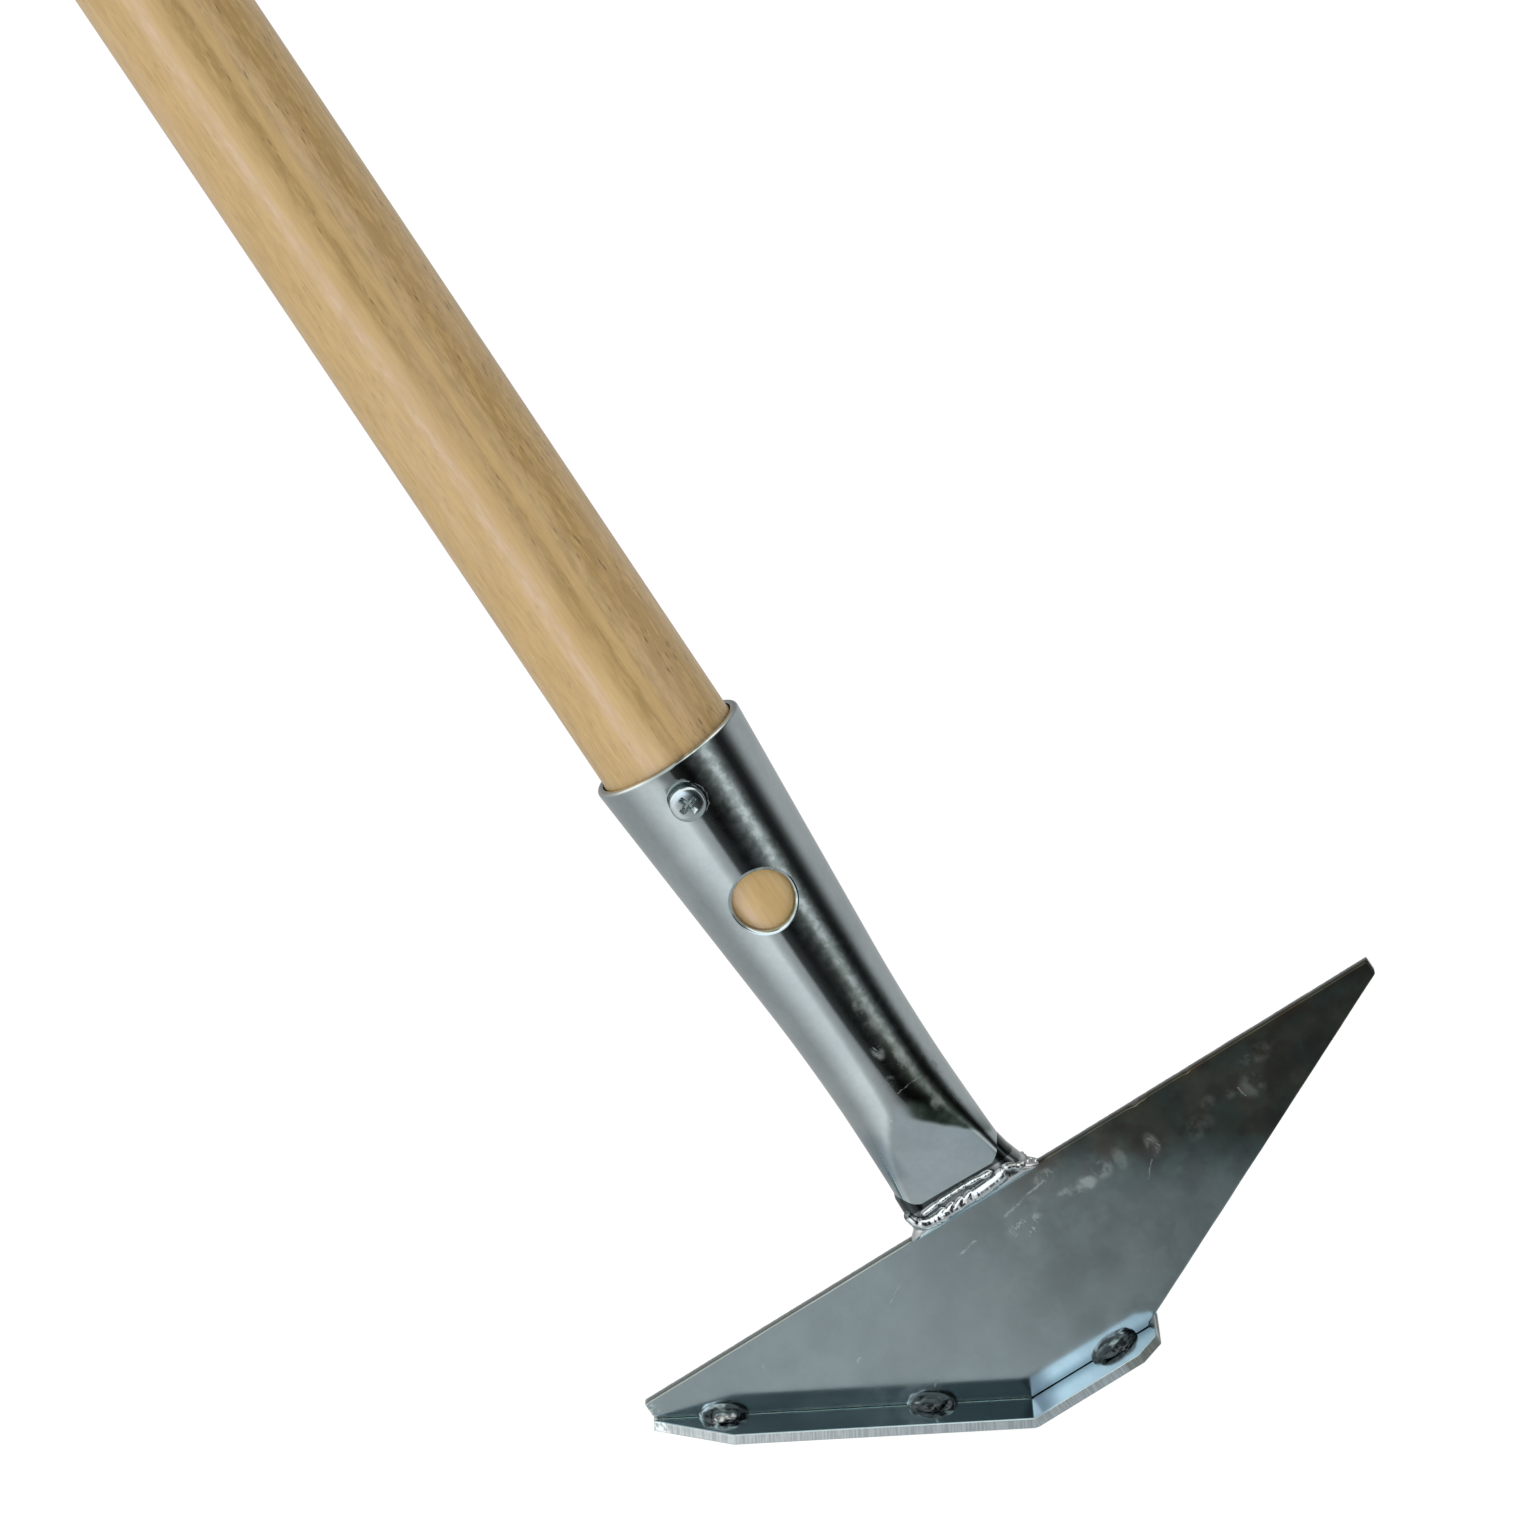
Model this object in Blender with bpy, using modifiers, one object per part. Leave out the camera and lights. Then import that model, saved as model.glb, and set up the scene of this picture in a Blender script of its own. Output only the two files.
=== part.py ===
"""Paving joint scraper: an ash handle in a zinc plated steel socket, welded to a scraper blade.

The handle's axis is +Z and the blade lies in the XZ plane. The front, where the hole and the
screw of the socket show, faces -Y. The origin is where the handle's axis meets the underside
of the sole, so the tool stands on Z = 0. All sizes are in metres.
"""

import math

import bmesh
import bpy
from mathutils import Matrix, Vector

# Fit between touching pieces
GAP = 0.0003

# Blade, seen from the front: straight top edge, two slanting edges and a short flat bottom
BLADE_LEFT = -0.0754
BLADE_RIGHT = 0.0903
BLADE_HEIGHT = 0.0396
BLADE_THICKNESS = 0.003
BLADE_TIP_HEIGHT = 0.0032
LEFT_SLOPE = math.radians(29.6)
RIGHT_SLOPE = math.radians(26.0)
BLADE_EDGE_ROUND = 0.0003

# Sole strip, folded under the blade's left edge and its flat bottom
SOLE_THICKNESS = 0.002
SOLE_WIDTH = 0.028
SOLE_NOSE_WIDTH = 0.006
SOLE_NOSE_LENGTH = 0.0155
SOLE_END_OVERHANG = 0.0012
SOLE_END_CUT_LENGTH = 0.0042
SOLE_END_CUT_WIDTH = 0.0050
SOLE_EDGE_ROUND = 0.00015

# Socket: a round cone that spreads from SPREAD_START down and is pressed flat from PRESS_START
SOCKET_LENGTH = 0.1082
SOCKET_MOUTH_DIAMETER = 0.0319
SOCKET_TAPER = 0.1405
SOCKET_END_WIDTH = 0.0238
SOCKET_END_THICKNESS = 0.0064
SOCKET_WALL = 0.0015
SOCKET_RIM_ROUND = 0.0003
SPREAD_START = 0.056
SPREAD_POWER = 1.8
PRESS_START = 0.080
SOCKET_SIDES = 48
CONE_STEPS = 10
PRESSED_STEPS = 20

# Hole and screw in the socket, as depths below the mouth and turns to the right of the front
HOLE_DIAMETER = 0.0132
HOLE_DEPTH = 0.0328
HOLE_TURN = math.radians(4.3)
SCREW_DEPTH = 0.0081
SCREW_TURN = math.radians(-1.0)
SCREW_HEAD_DIAMETER = 0.0072
SCREW_HEAD_HEIGHT = 0.0024
SCREW_SHANK_DIAMETER = 0.0032
SCREW_LENGTH = 0.016
SCREW_POINT_LENGTH = 0.004
SCREW_SLOT_WIDTH = 0.0009
SCREW_SLOT_LENGTH = 0.0042
SCREW_SLOT_DEPTH = 0.0013
DIMPLE_DIAMETER = 0.0084
DIMPLE_DEPTH = 0.0006

# Handle
HANDLE_DIAMETER = 0.028
HANDLE_LENGTH = 1.5
HANDLE_IN_SOCKET = 0.062
HANDLE_TOP_ROUND = 0.009
HANDLE_END_CHAMFER = 0.002
HANDLE_SIDES = 64

# Bead round the socket's end: at each height above the blade, how far it swells past the
# socket at the front and back, at the left end, and at the right end with its hollow fillet
SOCKET_BEAD = (
    (0.0054, -0.0004, -0.0004, -0.0004),
    (0.0047, 0.0007, 0.0004, 0.0005),
    (0.0036, 0.0013, 0.0007, 0.0008),
    (0.0024, 0.0016, 0.0009, 0.0014),
    (0.0013, 0.0014, 0.0009, 0.0025),
    (0.0004, 0.0006, 0.0008, 0.0042),
    (-0.0004, -0.0008, 0.0004, 0.0034),
)

# Tack welds in the corner between the blade and the sole
TACK_LENGTH = 0.0106
TACK_HEIGHT = 0.0024
TACK_DEPTH = 0.0066
TACKS_FROM_NOSE = {"left": 0.0136, "middle": 0.0543}
TACK_FROM_BEND = {"right": 0.0191}

# Heights that follow from the sizes above
SOLE_TOP = SOLE_THICKNESS
BLADE_BOTTOM = SOLE_TOP + GAP
BLADE_TOP = BLADE_BOTTOM + BLADE_HEIGHT
SOCKET_END = BLADE_TOP + GAP
MOUTH = SOCKET_END + SOCKET_LENGTH
FRONT_FACE = -BLADE_THICKNESS / 2

# Ends of the blade's flat bottom
BEND_X = BLADE_LEFT + (BLADE_HEIGHT - BLADE_TIP_HEIGHT) / math.tan(LEFT_SLOPE)
CORNER_X = BLADE_RIGHT - (BLADE_HEIGHT - BLADE_TIP_HEIGHT) / math.tan(RIGHT_SLOPE)


def empty_the_scene():
    for item in list(bpy.data.objects):
        bpy.data.objects.remove(item, do_unlink=True)


def new_collection(name):
    collection = bpy.data.collections.new(name)
    bpy.context.scene.collection.children.link(collection)
    return collection


def finish(name, colour, metallic, roughness):
    material = bpy.data.materials.new(name)
    material.use_nodes = True
    shader = material.node_tree.nodes["Principled BSDF"]
    shader.inputs["Base Color"].default_value = (*colour, 1.0)
    shader.inputs["Metallic"].default_value = metallic
    shader.inputs["Roughness"].default_value = roughness
    return material


def place(name, data, collection, material=None):
    item = bpy.data.objects.new(name, data)
    collection.objects.link(item)
    if material is not None:
        data.materials.append(material)
    return item


def as_cutter(item):
    item.hide_render = True
    item.display_type = "WIRE"
    return item


def cut(item, cutter):
    modifier = item.modifiers.new("cut by " + cutter.name, "BOOLEAN")
    modifier.operation = "DIFFERENCE"
    modifier.solver = "EXACT"
    modifier.object = cutter


def shade_smooth(mesh, angle=math.radians(35)):
    mesh.shade_smooth()
    mesh.set_sharp_from_angle(angle=angle)


def turned(name, profile, sides, collection, material=None):
    """A body turned round Z from (radius, height) points that run from top to bottom."""
    mesh = bpy.data.meshes.new(name)
    points = [(radius, 0.0, height) for radius, height in profile]
    edges = [(i, i + 1) for i in range(len(points) - 1)]
    mesh.from_pydata(points, edges, [])
    item = place(name, mesh, collection, material)
    screw = item.modifiers.new("turn", "SCREW")
    screw.axis = "Z"
    screw.steps = sides
    screw.render_steps = sides
    screw.use_merge_vertices = True
    screw.merge_threshold = 0.00001
    screw.use_smooth_shade = True
    return item


def round_cutter(name, radius, inner, outer, turn, depth, collection, sides=48):
    """A cylinder that reaches out through the front of the socket, turned about the handle's axis."""
    mesh = bpy.data.meshes.new(name)
    shape = bmesh.new()
    bmesh.ops.create_cone(
        shape, cap_ends=True, segments=sides, radius1=radius, radius2=radius, depth=outer - inner
    )
    shape.to_mesh(mesh)
    shape.free()
    item = as_cutter(place(name, mesh, collection))
    item.matrix_world = front_axis(turn, depth) @ Matrix.Translation((0, 0, (inner + outer) / 2))
    return item


def front_axis(turn, depth):
    """A frame at a depth below the mouth, with +Z pointing outward at a turn from the front."""
    outward = Matrix.Rotation(turn, 4, "Z") @ Matrix.Rotation(math.pi / 2, 4, "X")
    return Matrix.Translation((0, 0, MOUTH - depth)) @ outward


def socket_half_sizes(depth):
    """Half width and half thickness of the socket at a depth below its mouth."""
    cone_radius = (SOCKET_MOUTH_DIAMETER - SOCKET_TAPER * depth) / 2
    end_radius = (SOCKET_MOUTH_DIAMETER - SOCKET_TAPER * SOCKET_LENGTH) / 2
    spread = max(0.0, (depth - SPREAD_START) / (SOCKET_LENGTH - SPREAD_START))
    widened = (SOCKET_END_WIDTH / 2 - end_radius) * spread**SPREAD_POWER
    pressed = max(0.0, (depth - PRESS_START) / (SOCKET_LENGTH - PRESS_START))
    flattened = (end_radius - SOCKET_END_THICKNESS / 2) * pressed**2 * (3 - 2 * pressed)
    return cone_radius + widened, cone_radius - flattened


def socket_depths():
    """Depths of the socket's sections, closer together where it is pressed."""
    cone = [SPREAD_START * i / CONE_STEPS for i in range(CONE_STEPS)]
    lower = SOCKET_LENGTH - SPREAD_START
    return cone + [SPREAD_START + lower * i / PRESSED_STEPS for i in range(PRESSED_STEPS + 1)]


def socket_ring(height, swell=0.0, left=None, right=None):
    """Points round the socket's section: two half rounds joined by flats at the front and back.

    The section can swell at the front and back, and reach out at its left and right ends.
    Below the socket's end it stays that of the end.
    """
    half_width, half_thickness = socket_half_sizes(MOUTH - max(height, SOCKET_END))
    flat = half_width - half_thickness
    left_round = half_thickness + (swell if left is None else left)
    right_round = half_thickness + (swell if right is None else right)
    ring = []
    for i in range(SOCKET_SIDES):
        angle = 2 * math.pi * i / SOCKET_SIDES
        across = math.cos(angle)
        if math.isclose(across, 0.0, abs_tol=1e-9):
            x = 0.0
        elif across > 0:
            x = flat + right_round * across
        else:
            x = left_round * across - flat
        ring.append((x, (half_thickness + swell) * math.sin(angle), height))
    return ring


def loft(name, rings, collection, closed_ends=False, material=None):
    """Faces between rings of points that run from top to bottom."""
    mesh = bpy.data.meshes.new(name)
    shape = bmesh.new()
    rows = [[shape.verts.new(point) for point in ring] for ring in rings]
    count = len(rows[0])
    for upper, lower in zip(rows, rows[1:]):
        for i in range(count):
            j = (i + 1) % count
            shape.faces.new((upper[i], lower[i], lower[j], upper[j]))
    if closed_ends:
        shape.faces.new(rows[0])
        shape.faces.new(list(reversed(rows[-1])))
    shape.to_mesh(mesh)
    shape.free()
    return place(name, mesh, collection, material)


def flat_outline(name, points, thickness, edge_round, collection, material=None):
    """A plate in the XZ plane from its outline, with small rounds along both faces."""
    curve = bpy.data.curves.new(name, "CURVE")
    curve.dimensions = "2D"
    curve.fill_mode = "BOTH"
    curve.extrude = thickness / 2 - edge_round
    curve.bevel_depth = edge_round
    curve.bevel_resolution = 1
    curve.offset = -edge_round
    spline = curve.splines.new("POLY")
    spline.points.add(len(points) - 1)
    for point, (x, z) in zip(spline.points, points):
        point.co = (x, z, 0.0, 1.0)
    spline.use_cyclic_u = True
    item = place(name, curve, collection, material)
    item.rotation_euler = (math.pi / 2, 0, 0)
    weld = item.modifiers.new("close the caps", "WELD")
    weld.merge_threshold = 0.00001
    return item


def make_handle(parts, cutters, wood):
    """Round ash pole with a domed top, shaved to a cone where it sits in the socket."""
    radius = HANDLE_DIAMETER / 2
    top = MOUTH - HANDLE_IN_SOCKET + HANDLE_LENGTH
    dome_steps = 8
    profile = []
    for i in range(dome_steps + 1):
        angle = math.pi / 2 * (1 - i / dome_steps)
        across = radius - HANDLE_TOP_ROUND * (1 - math.cos(angle)) if i else 0.0
        profile.append((across, top - HANDLE_TOP_ROUND * (1 - math.sin(angle))))
    profile.insert(1, (radius - HANDLE_TOP_ROUND, top))

    def cone_radius(depth):
        return socket_half_sizes(depth)[1] - SOCKET_WALL - GAP

    profile.append((radius, MOUTH))
    cone_end = HANDLE_IN_SOCKET - HANDLE_END_CHAMFER
    profile.append((cone_radius(cone_end), MOUTH - cone_end))
    end_radius = cone_radius(HANDLE_IN_SOCKET) - HANDLE_END_CHAMFER
    profile.append((end_radius, MOUTH - HANDLE_IN_SOCKET))
    profile.append((0.0, MOUTH - HANDLE_IN_SOCKET))
    handle = turned("handle", profile, HANDLE_SIDES, parts, wood)

    pilot_radius = SCREW_SHANK_DIAMETER / 2 + GAP
    pilot_inner = screw_seat_radius() - SCREW_LENGTH - GAP
    pilot = round_cutter(
        "screw pilot", pilot_radius, pilot_inner, radius + SOCKET_WALL, SCREW_TURN, SCREW_DEPTH, cutters, 24
    )
    cut(handle, pilot)
    return handle


def screw_seat_radius():
    """Distance of the flat bottom of the screw's dimple from the handle's axis."""
    return socket_half_sizes(SCREW_DEPTH)[1] - DIMPLE_DEPTH


def make_socket(parts, cutters, zinc):
    """Tapered steel socket: round mouth, flattened end, a punched hole and a screw dimple."""
    rings = [socket_ring(MOUTH - depth) for depth in socket_depths()]
    socket = loft("socket", rings, parts, material=zinc)
    shade_smooth(socket.data)
    wall = socket.modifiers.new("wall", "SOLIDIFY")
    wall.thickness = SOCKET_WALL
    wall.offset = -1.0
    wall.use_even_offset = True
    rim = socket.modifiers.new("rims", "BEVEL")
    rim.width = SOCKET_RIM_ROUND
    rim.segments = 2
    rim.limit_method = "ANGLE"
    rim.angle_limit = math.radians(50)

    beyond = SOCKET_MOUTH_DIAMETER
    hole = round_cutter(
        "punched hole", HOLE_DIAMETER / 2, GAP, beyond, HOLE_TURN, HOLE_DEPTH, cutters
    )
    clearance = round_cutter(
        "screw hole", SCREW_SHANK_DIAMETER / 2 + GAP, GAP, beyond, SCREW_TURN, SCREW_DEPTH, cutters, 24
    )
    dimple = round_cutter(
        "screw dimple", DIMPLE_DIAMETER / 2, screw_seat_radius(), beyond, SCREW_TURN, SCREW_DEPTH, cutters
    )
    for cutter in (hole, dimple, clearance):
        cut(socket, cutter)
    return socket


def make_screw(parts, cutters, zinc):
    """Pan head wood screw through the socket's wall into the handle, with a cross slot."""
    head_radius = SCREW_HEAD_DIAMETER / 2
    edge_height = SCREW_HEAD_HEIGHT * 0.45
    dome_steps = 6
    profile = [(0.0, SCREW_HEAD_HEIGHT)]
    for i in range(1, dome_steps + 1):
        angle = math.pi / 2 * i / dome_steps
        height = edge_height + (SCREW_HEAD_HEIGHT - edge_height) * math.cos(angle)
        profile.append((head_radius * math.sin(angle), height))
    shank = SCREW_SHANK_DIAMETER / 2
    profile += [
        (head_radius, GAP),
        (head_radius - GAP, 0.0),
        (shank, 0.0),
        (shank, -SCREW_LENGTH + SCREW_POINT_LENGTH),
        (0.0, -SCREW_LENGTH),
    ]
    screw = turned("handle_screw", profile, 32, parts, zinc)
    seat = front_axis(SCREW_TURN, SCREW_DEPTH)
    seat = seat @ Matrix.Translation((0, 0, screw_seat_radius() + GAP))
    screw.matrix_world = seat

    for number, turn in enumerate((math.radians(20), math.radians(110)), start=1):
        mesh = bpy.data.meshes.new(f"cross slot {number}")
        shape = bmesh.new()
        bmesh.ops.create_cube(shape, size=1.0)
        taper_to_bottom(shape)
        scale = (SCREW_SLOT_LENGTH, SCREW_SLOT_WIDTH, 2 * SCREW_SLOT_DEPTH)
        bmesh.ops.scale(shape, vec=scale, verts=shape.verts)
        shape.to_mesh(mesh)
        shape.free()
        slot = as_cutter(place(f"cross slot {number}", mesh, cutters))
        slot.matrix_world = (
            seat @ Matrix.Rotation(turn, 4, "Z") @ Matrix.Translation((0, 0, SCREW_HEAD_HEIGHT))
        )
        cut(screw, slot)
    return screw


def taper_to_bottom(shape, share=0.45):
    for vert in shape.verts:
        if vert.co.z < 0:
            vert.co.x *= share
            vert.co.y *= share


def blade_outline():
    return [
        (BLADE_LEFT, BLADE_TOP),
        (BLADE_LEFT, BLADE_TOP - BLADE_TIP_HEIGHT),
        (BEND_X, BLADE_BOTTOM),
        (CORNER_X, BLADE_BOTTOM),
        (BLADE_RIGHT, BLADE_TOP - BLADE_TIP_HEIGHT),
        (BLADE_RIGHT, BLADE_TOP),
    ]


def make_blade(parts, zinc):
    """Plate with two pointed ends, cut blunt at the tips."""
    return flat_outline("blade", blade_outline(), BLADE_THICKNESS, BLADE_EDGE_ROUND, parts, zinc)


def sole_point(along, across, lift=0.0):
    """A point on the sole's top: along it from the nose, across it to the back, and above it.

    The long leg runs down to the bend along the blade's left edge, and the short leg is level.
    """
    long_leg = sole_long_leg()
    back = max(0.0, long_leg - along)
    past = max(0.0, along - long_leg)
    start_x = BEND_X - GAP * math.tan(LEFT_SLOPE / 2)
    x = start_x - back * math.cos(LEFT_SLOPE) + past
    z = SOLE_TOP + back * math.sin(LEFT_SLOPE)
    if back:
        x += lift * math.sin(LEFT_SLOPE)
        z += lift * math.cos(LEFT_SLOPE)
    else:
        z += lift
    return Vector((x, across, z))


def sole_long_leg():
    """Length of the sole's long leg, from its nose at the blade's left end to the bend."""
    return (BEND_X - BLADE_LEFT) / math.cos(LEFT_SLOPE)


def make_sole(parts, zinc):
    """One flat strip with cut corners, folded at the bend and given its thickness downwards."""
    bend = sole_long_leg()
    end = bend + CORNER_X - BEND_X + SOLE_END_OVERHANG
    half = SOLE_WIDTH / 2
    long_leg = [
        (0.0, -SOLE_NOSE_WIDTH / 2),
        (SOLE_NOSE_LENGTH, -half),
        (bend, -half),
        (bend, half),
        (SOLE_NOSE_LENGTH, half),
        (0.0, SOLE_NOSE_WIDTH / 2),
    ]
    short_leg = [
        (bend, -half),
        (end - SOLE_END_CUT_LENGTH, -half),
        (end, -half + SOLE_END_CUT_WIDTH),
        (end, half - SOLE_END_CUT_WIDTH),
        (end - SOLE_END_CUT_LENGTH, half),
        (bend, half),
    ]
    mesh = bpy.data.meshes.new("sole_strip")
    shape = bmesh.new()
    for leg in (long_leg, short_leg):
        shape.faces.new([shape.verts.new(sole_point(*point)) for point in leg])
    bmesh.ops.remove_doubles(shape, verts=shape.verts, dist=0.00001)
    shape.to_mesh(mesh)
    shape.free()
    sole = place("sole_strip", mesh, parts, zinc)
    plate = sole.modifiers.new("thickness", "SOLIDIFY")
    plate.thickness = SOLE_THICKNESS
    plate.offset = -1.0
    plate.use_even_offset = True
    edges = sole.modifiers.new("edges", "BEVEL")
    edges.width = SOLE_EDGE_ROUND
    edges.segments = 1
    edges.limit_method = "ANGLE"
    edges.angle_limit = math.radians(35)
    return sole


def make_socket_weld(parts, cutters, metal):
    """Weld bead that runs round the socket's flat end and joins it to the blade's top edge."""
    rings = [socket_ring(BLADE_TOP + height, *swells) for height, *swells in SOCKET_BEAD]
    bead = loft("socket_weld", rings, parts, closed_ends=True, material=metal)
    shade_smooth(bead.data)

    bead_height = SOCKET_BEAD[0][0]
    room = [
        socket_ring(BLADE_TOP + 2 * bead_height, GAP),
        socket_ring(BLADE_TOP + bead_height, GAP),
        socket_ring(SOCKET_END, GAP),
        socket_ring(BLADE_TOP, GAP),
    ]
    cut(bead, as_cutter(loft("room for the socket", room, cutters, closed_ends=True)))

    mesh = bpy.data.meshes.new("room for the blade")
    shape = bmesh.new()
    bmesh.ops.create_cube(shape, size=1.0)
    size = Vector((2 * SOCKET_END_WIDTH, BLADE_THICKNESS + 2 * GAP, bead_height))
    bmesh.ops.scale(shape, vec=size, verts=shape.verts)
    shape.to_mesh(mesh)
    shape.free()
    slot = as_cutter(place("room for the blade", mesh, cutters))
    slot.location = (0, 0, BLADE_TOP + GAP - size.z / 2)
    cut(bead, slot)
    return bead


def make_tack(name, along, front, parts, metal):
    """Domed tack weld in the corner between the blade and the sole, cut flat against both."""
    mesh = bpy.data.meshes.new(name)
    shape = bmesh.new()
    bmesh.ops.create_uvsphere(shape, u_segments=20, v_segments=12, radius=1.0)
    size = (TACK_LENGTH / 2, TACK_DEPTH, TACK_HEIGHT)
    bmesh.ops.scale(shape, vec=size, verts=shape.verts)

    on_long_leg = along < sole_long_leg()
    lean = LEFT_SLOPE if on_long_leg else 0.0
    face = FRONT_FACE - GAP
    centre = sole_point(along, face + 0.1 * TACK_DEPTH, 0.1 * TACK_HEIGHT)
    bmesh.ops.rotate(shape, verts=shape.verts, matrix=Matrix.Rotation(lean, 3, "Y"))
    bmesh.ops.translate(shape, verts=shape.verts, vec=centre)

    up = Vector((math.sin(lean), 0.0, math.cos(lean)))
    planes = (
        (Vector((0.0, face, 0.0)), Vector((0.0, 1.0, 0.0))),
        (sole_point(along, 0.0, GAP), -up),
    )
    for point, normal in planes:
        everything = shape.verts[:] + shape.edges[:] + shape.faces[:]
        result = bmesh.ops.bisect_plane(
            shape, geom=everything, dist=1e-7, plane_co=point, plane_no=normal, clear_outer=True
        )
        rim = [item for item in result["geom_cut"] if isinstance(item, bmesh.types.BMEdge)]
        bmesh.ops.contextual_create(shape, geom=rim)
    if not front:
        bmesh.ops.scale(shape, vec=(1.0, -1.0, 1.0), verts=shape.verts)
        bmesh.ops.reverse_faces(shape, faces=shape.faces)
    shape.to_mesh(mesh)
    shape.free()
    shade_smooth(mesh)
    return place(name, mesh, parts, metal)


def build():
    empty_the_scene()
    parts = new_collection("paving_joint_scraper")
    cutters = new_collection("cutters")

    wood = finish("ash wood, clear lacquer", (0.58, 0.41, 0.23), 0.0, 0.40)
    socket_zinc = finish("zinc plated socket", (0.55, 0.60, 0.62), 1.0, 0.25)
    blade_zinc = finish("zinc plated blade", (0.42, 0.47, 0.49), 1.0, 0.32)
    sole_zinc = finish("zinc plated sole", (0.48, 0.54, 0.57), 1.0, 0.28)
    screw_zinc = finish("zinc plated screw", (0.62, 0.65, 0.66), 1.0, 0.22)
    weld_metal = finish("plated weld metal", (0.66, 0.68, 0.68), 1.0, 0.20)

    make_handle(parts, cutters, wood)
    make_socket(parts, cutters, socket_zinc)
    make_screw(parts, cutters, screw_zinc)
    make_blade(parts, blade_zinc)
    make_sole(parts, sole_zinc)
    make_socket_weld(parts, cutters, weld_metal)

    tacks = dict(TACKS_FROM_NOSE)
    for place_name, past_bend in TACK_FROM_BEND.items():
        tacks[place_name] = sole_long_leg() + past_bend
    for face_name, front in (("front", True), ("back", False)):
        for place_name, along in tacks.items():
            make_tack(f"tack_weld_{face_name}_{place_name}", along, front, parts, weld_metal)


build()
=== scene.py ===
"""Finished looks of the paving joint scraper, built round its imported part.

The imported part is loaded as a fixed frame. Each operator makes one piece, or one group of like
pieces, in the part's own frame and in metres: the handle's axis is +Z, the front with the hole
and the screw faces -Y, and the sole rests on Z = 0.
"""

import math
from functools import reduce
import bmesh
import bpy
import numpy as np
from bpy.props import FloatProperty, FloatVectorProperty, IntProperty, PointerProperty
from bpy.types import Operator, Panel, PropertyGroup
from mathutils import Matrix, Vector, noise


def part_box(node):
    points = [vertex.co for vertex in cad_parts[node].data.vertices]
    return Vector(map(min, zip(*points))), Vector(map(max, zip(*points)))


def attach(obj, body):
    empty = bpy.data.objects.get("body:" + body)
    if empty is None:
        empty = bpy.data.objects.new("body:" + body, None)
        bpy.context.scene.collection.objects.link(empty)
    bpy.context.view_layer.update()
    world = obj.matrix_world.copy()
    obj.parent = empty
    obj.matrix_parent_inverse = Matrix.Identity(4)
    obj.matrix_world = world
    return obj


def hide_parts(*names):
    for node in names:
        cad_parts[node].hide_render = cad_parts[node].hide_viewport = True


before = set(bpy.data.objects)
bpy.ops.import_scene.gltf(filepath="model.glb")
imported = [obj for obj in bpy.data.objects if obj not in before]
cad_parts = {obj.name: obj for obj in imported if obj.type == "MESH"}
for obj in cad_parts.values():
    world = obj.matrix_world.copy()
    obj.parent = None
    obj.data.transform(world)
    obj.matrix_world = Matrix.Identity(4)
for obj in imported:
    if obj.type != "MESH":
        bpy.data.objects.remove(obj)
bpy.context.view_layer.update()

bl_info = {
    "name": "Paving joint scraper",
    "version": (1, 0, 0),
    "blender": (4, 5, 0),
    "location": "3D View > Sidebar > Scraper",
    "description": "Makes the handle, socket, blade, sole and welds of a paving joint scraper",
    "category": "Object",
}

GAP = 0.0003
HANDLE_LOW, HANDLE_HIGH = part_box("handle")
SOCKET_LOW, SOCKET_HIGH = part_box("socket")
BLADE_LOW, BLADE_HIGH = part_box("blade")
SOCKET_END = SOCKET_LOW.z
MOUTH = SOCKET_HIGH.z
BLADE_BOTTOM = BLADE_LOW.z
BLADE_TOP = BLADE_HIGH.z
FRONT_FACE = BLADE_LOW.y
# Shape of the socket: how late it widens, and how square its flat end is.
SPREAD_POWER = 1.8
SQUARER = 0.45
# Rounded lips of the socket and its hole, and the spacing of points along the blade's outline.
LIP_ROUND = 0.0008
HOLE_ROUND = 0.001
STEP = 0.0004
# Faces round the handle and the punched hole, the dimple, the screw and the hole for its shank.
ROUND_SIDES = 128
DIMPLE_SIDES = 96
SCREW_SIDES = 72
SHANK_SIDES = 32
# Reach of the blade towards the sole, and wear of its corners and of the sole's ends.
BLADE_REACH = 0.00025
TIP_WEAR = 0.00015
END_WEAR = 0.0002
# Nicks in the blade's top edge: place and width in metres, and depth in millimetres.
NICKS = ((0.0372, 0.0011, 0.35), (0.0392, 0.0006, 0.20), (0.0492, 0.0006, 0.22))
WHITE = (1.0, 1.0, 1.0, 1.0)


# Settings


def setting(name, description, default, kind=FloatProperty, **limits):
    return kind(name=name, description=description, default=default, **limits)


def size(name, description, default):
    return setting(name, description, default, unit="LENGTH", precision=5)


def turn(name, description, degrees):
    return setting(name, description, math.radians(degrees), subtype="ANGLE")


def share(name, description, default, most=1.0):
    return setting(name, description, default, min=0.0, max=most)


def colour(name, description, default):
    return setting(name, description, default, FloatVectorProperty, subtype="COLOR", min=0.0, max=1.0)


class StageSettings(PropertyGroup):
    camera_turn: turn("Camera turn", "Turn of the camera to the right of the front", 8.08)
    camera_height: turn("Camera height", "Angle of the camera above the horizon", 13.0506)
    camera_roll: turn("Camera roll", "Roll that lays the handle across the picture", -33.7765)
    camera_distance: size("Camera distance", "Distance from the camera to its aim", 2.0)
    camera_aim: setting(
        "Camera aim", "Point in the middle of the picture", (0.01406, 0.0, 0.13633), FloatVectorProperty
    )
    lens: setting("Lens", "Focal length in millimetres", 244.88)
    fill: share("Fill light", "Brightness of the soft light from all round", 0.60, 5.0)
    key_power: setting("Key light", "Power of the soft light on the left", 17.0)
    floor_glow: share("Floor glow", "Light that the white floor gives by itself", 0.95, 2.0)


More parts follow.
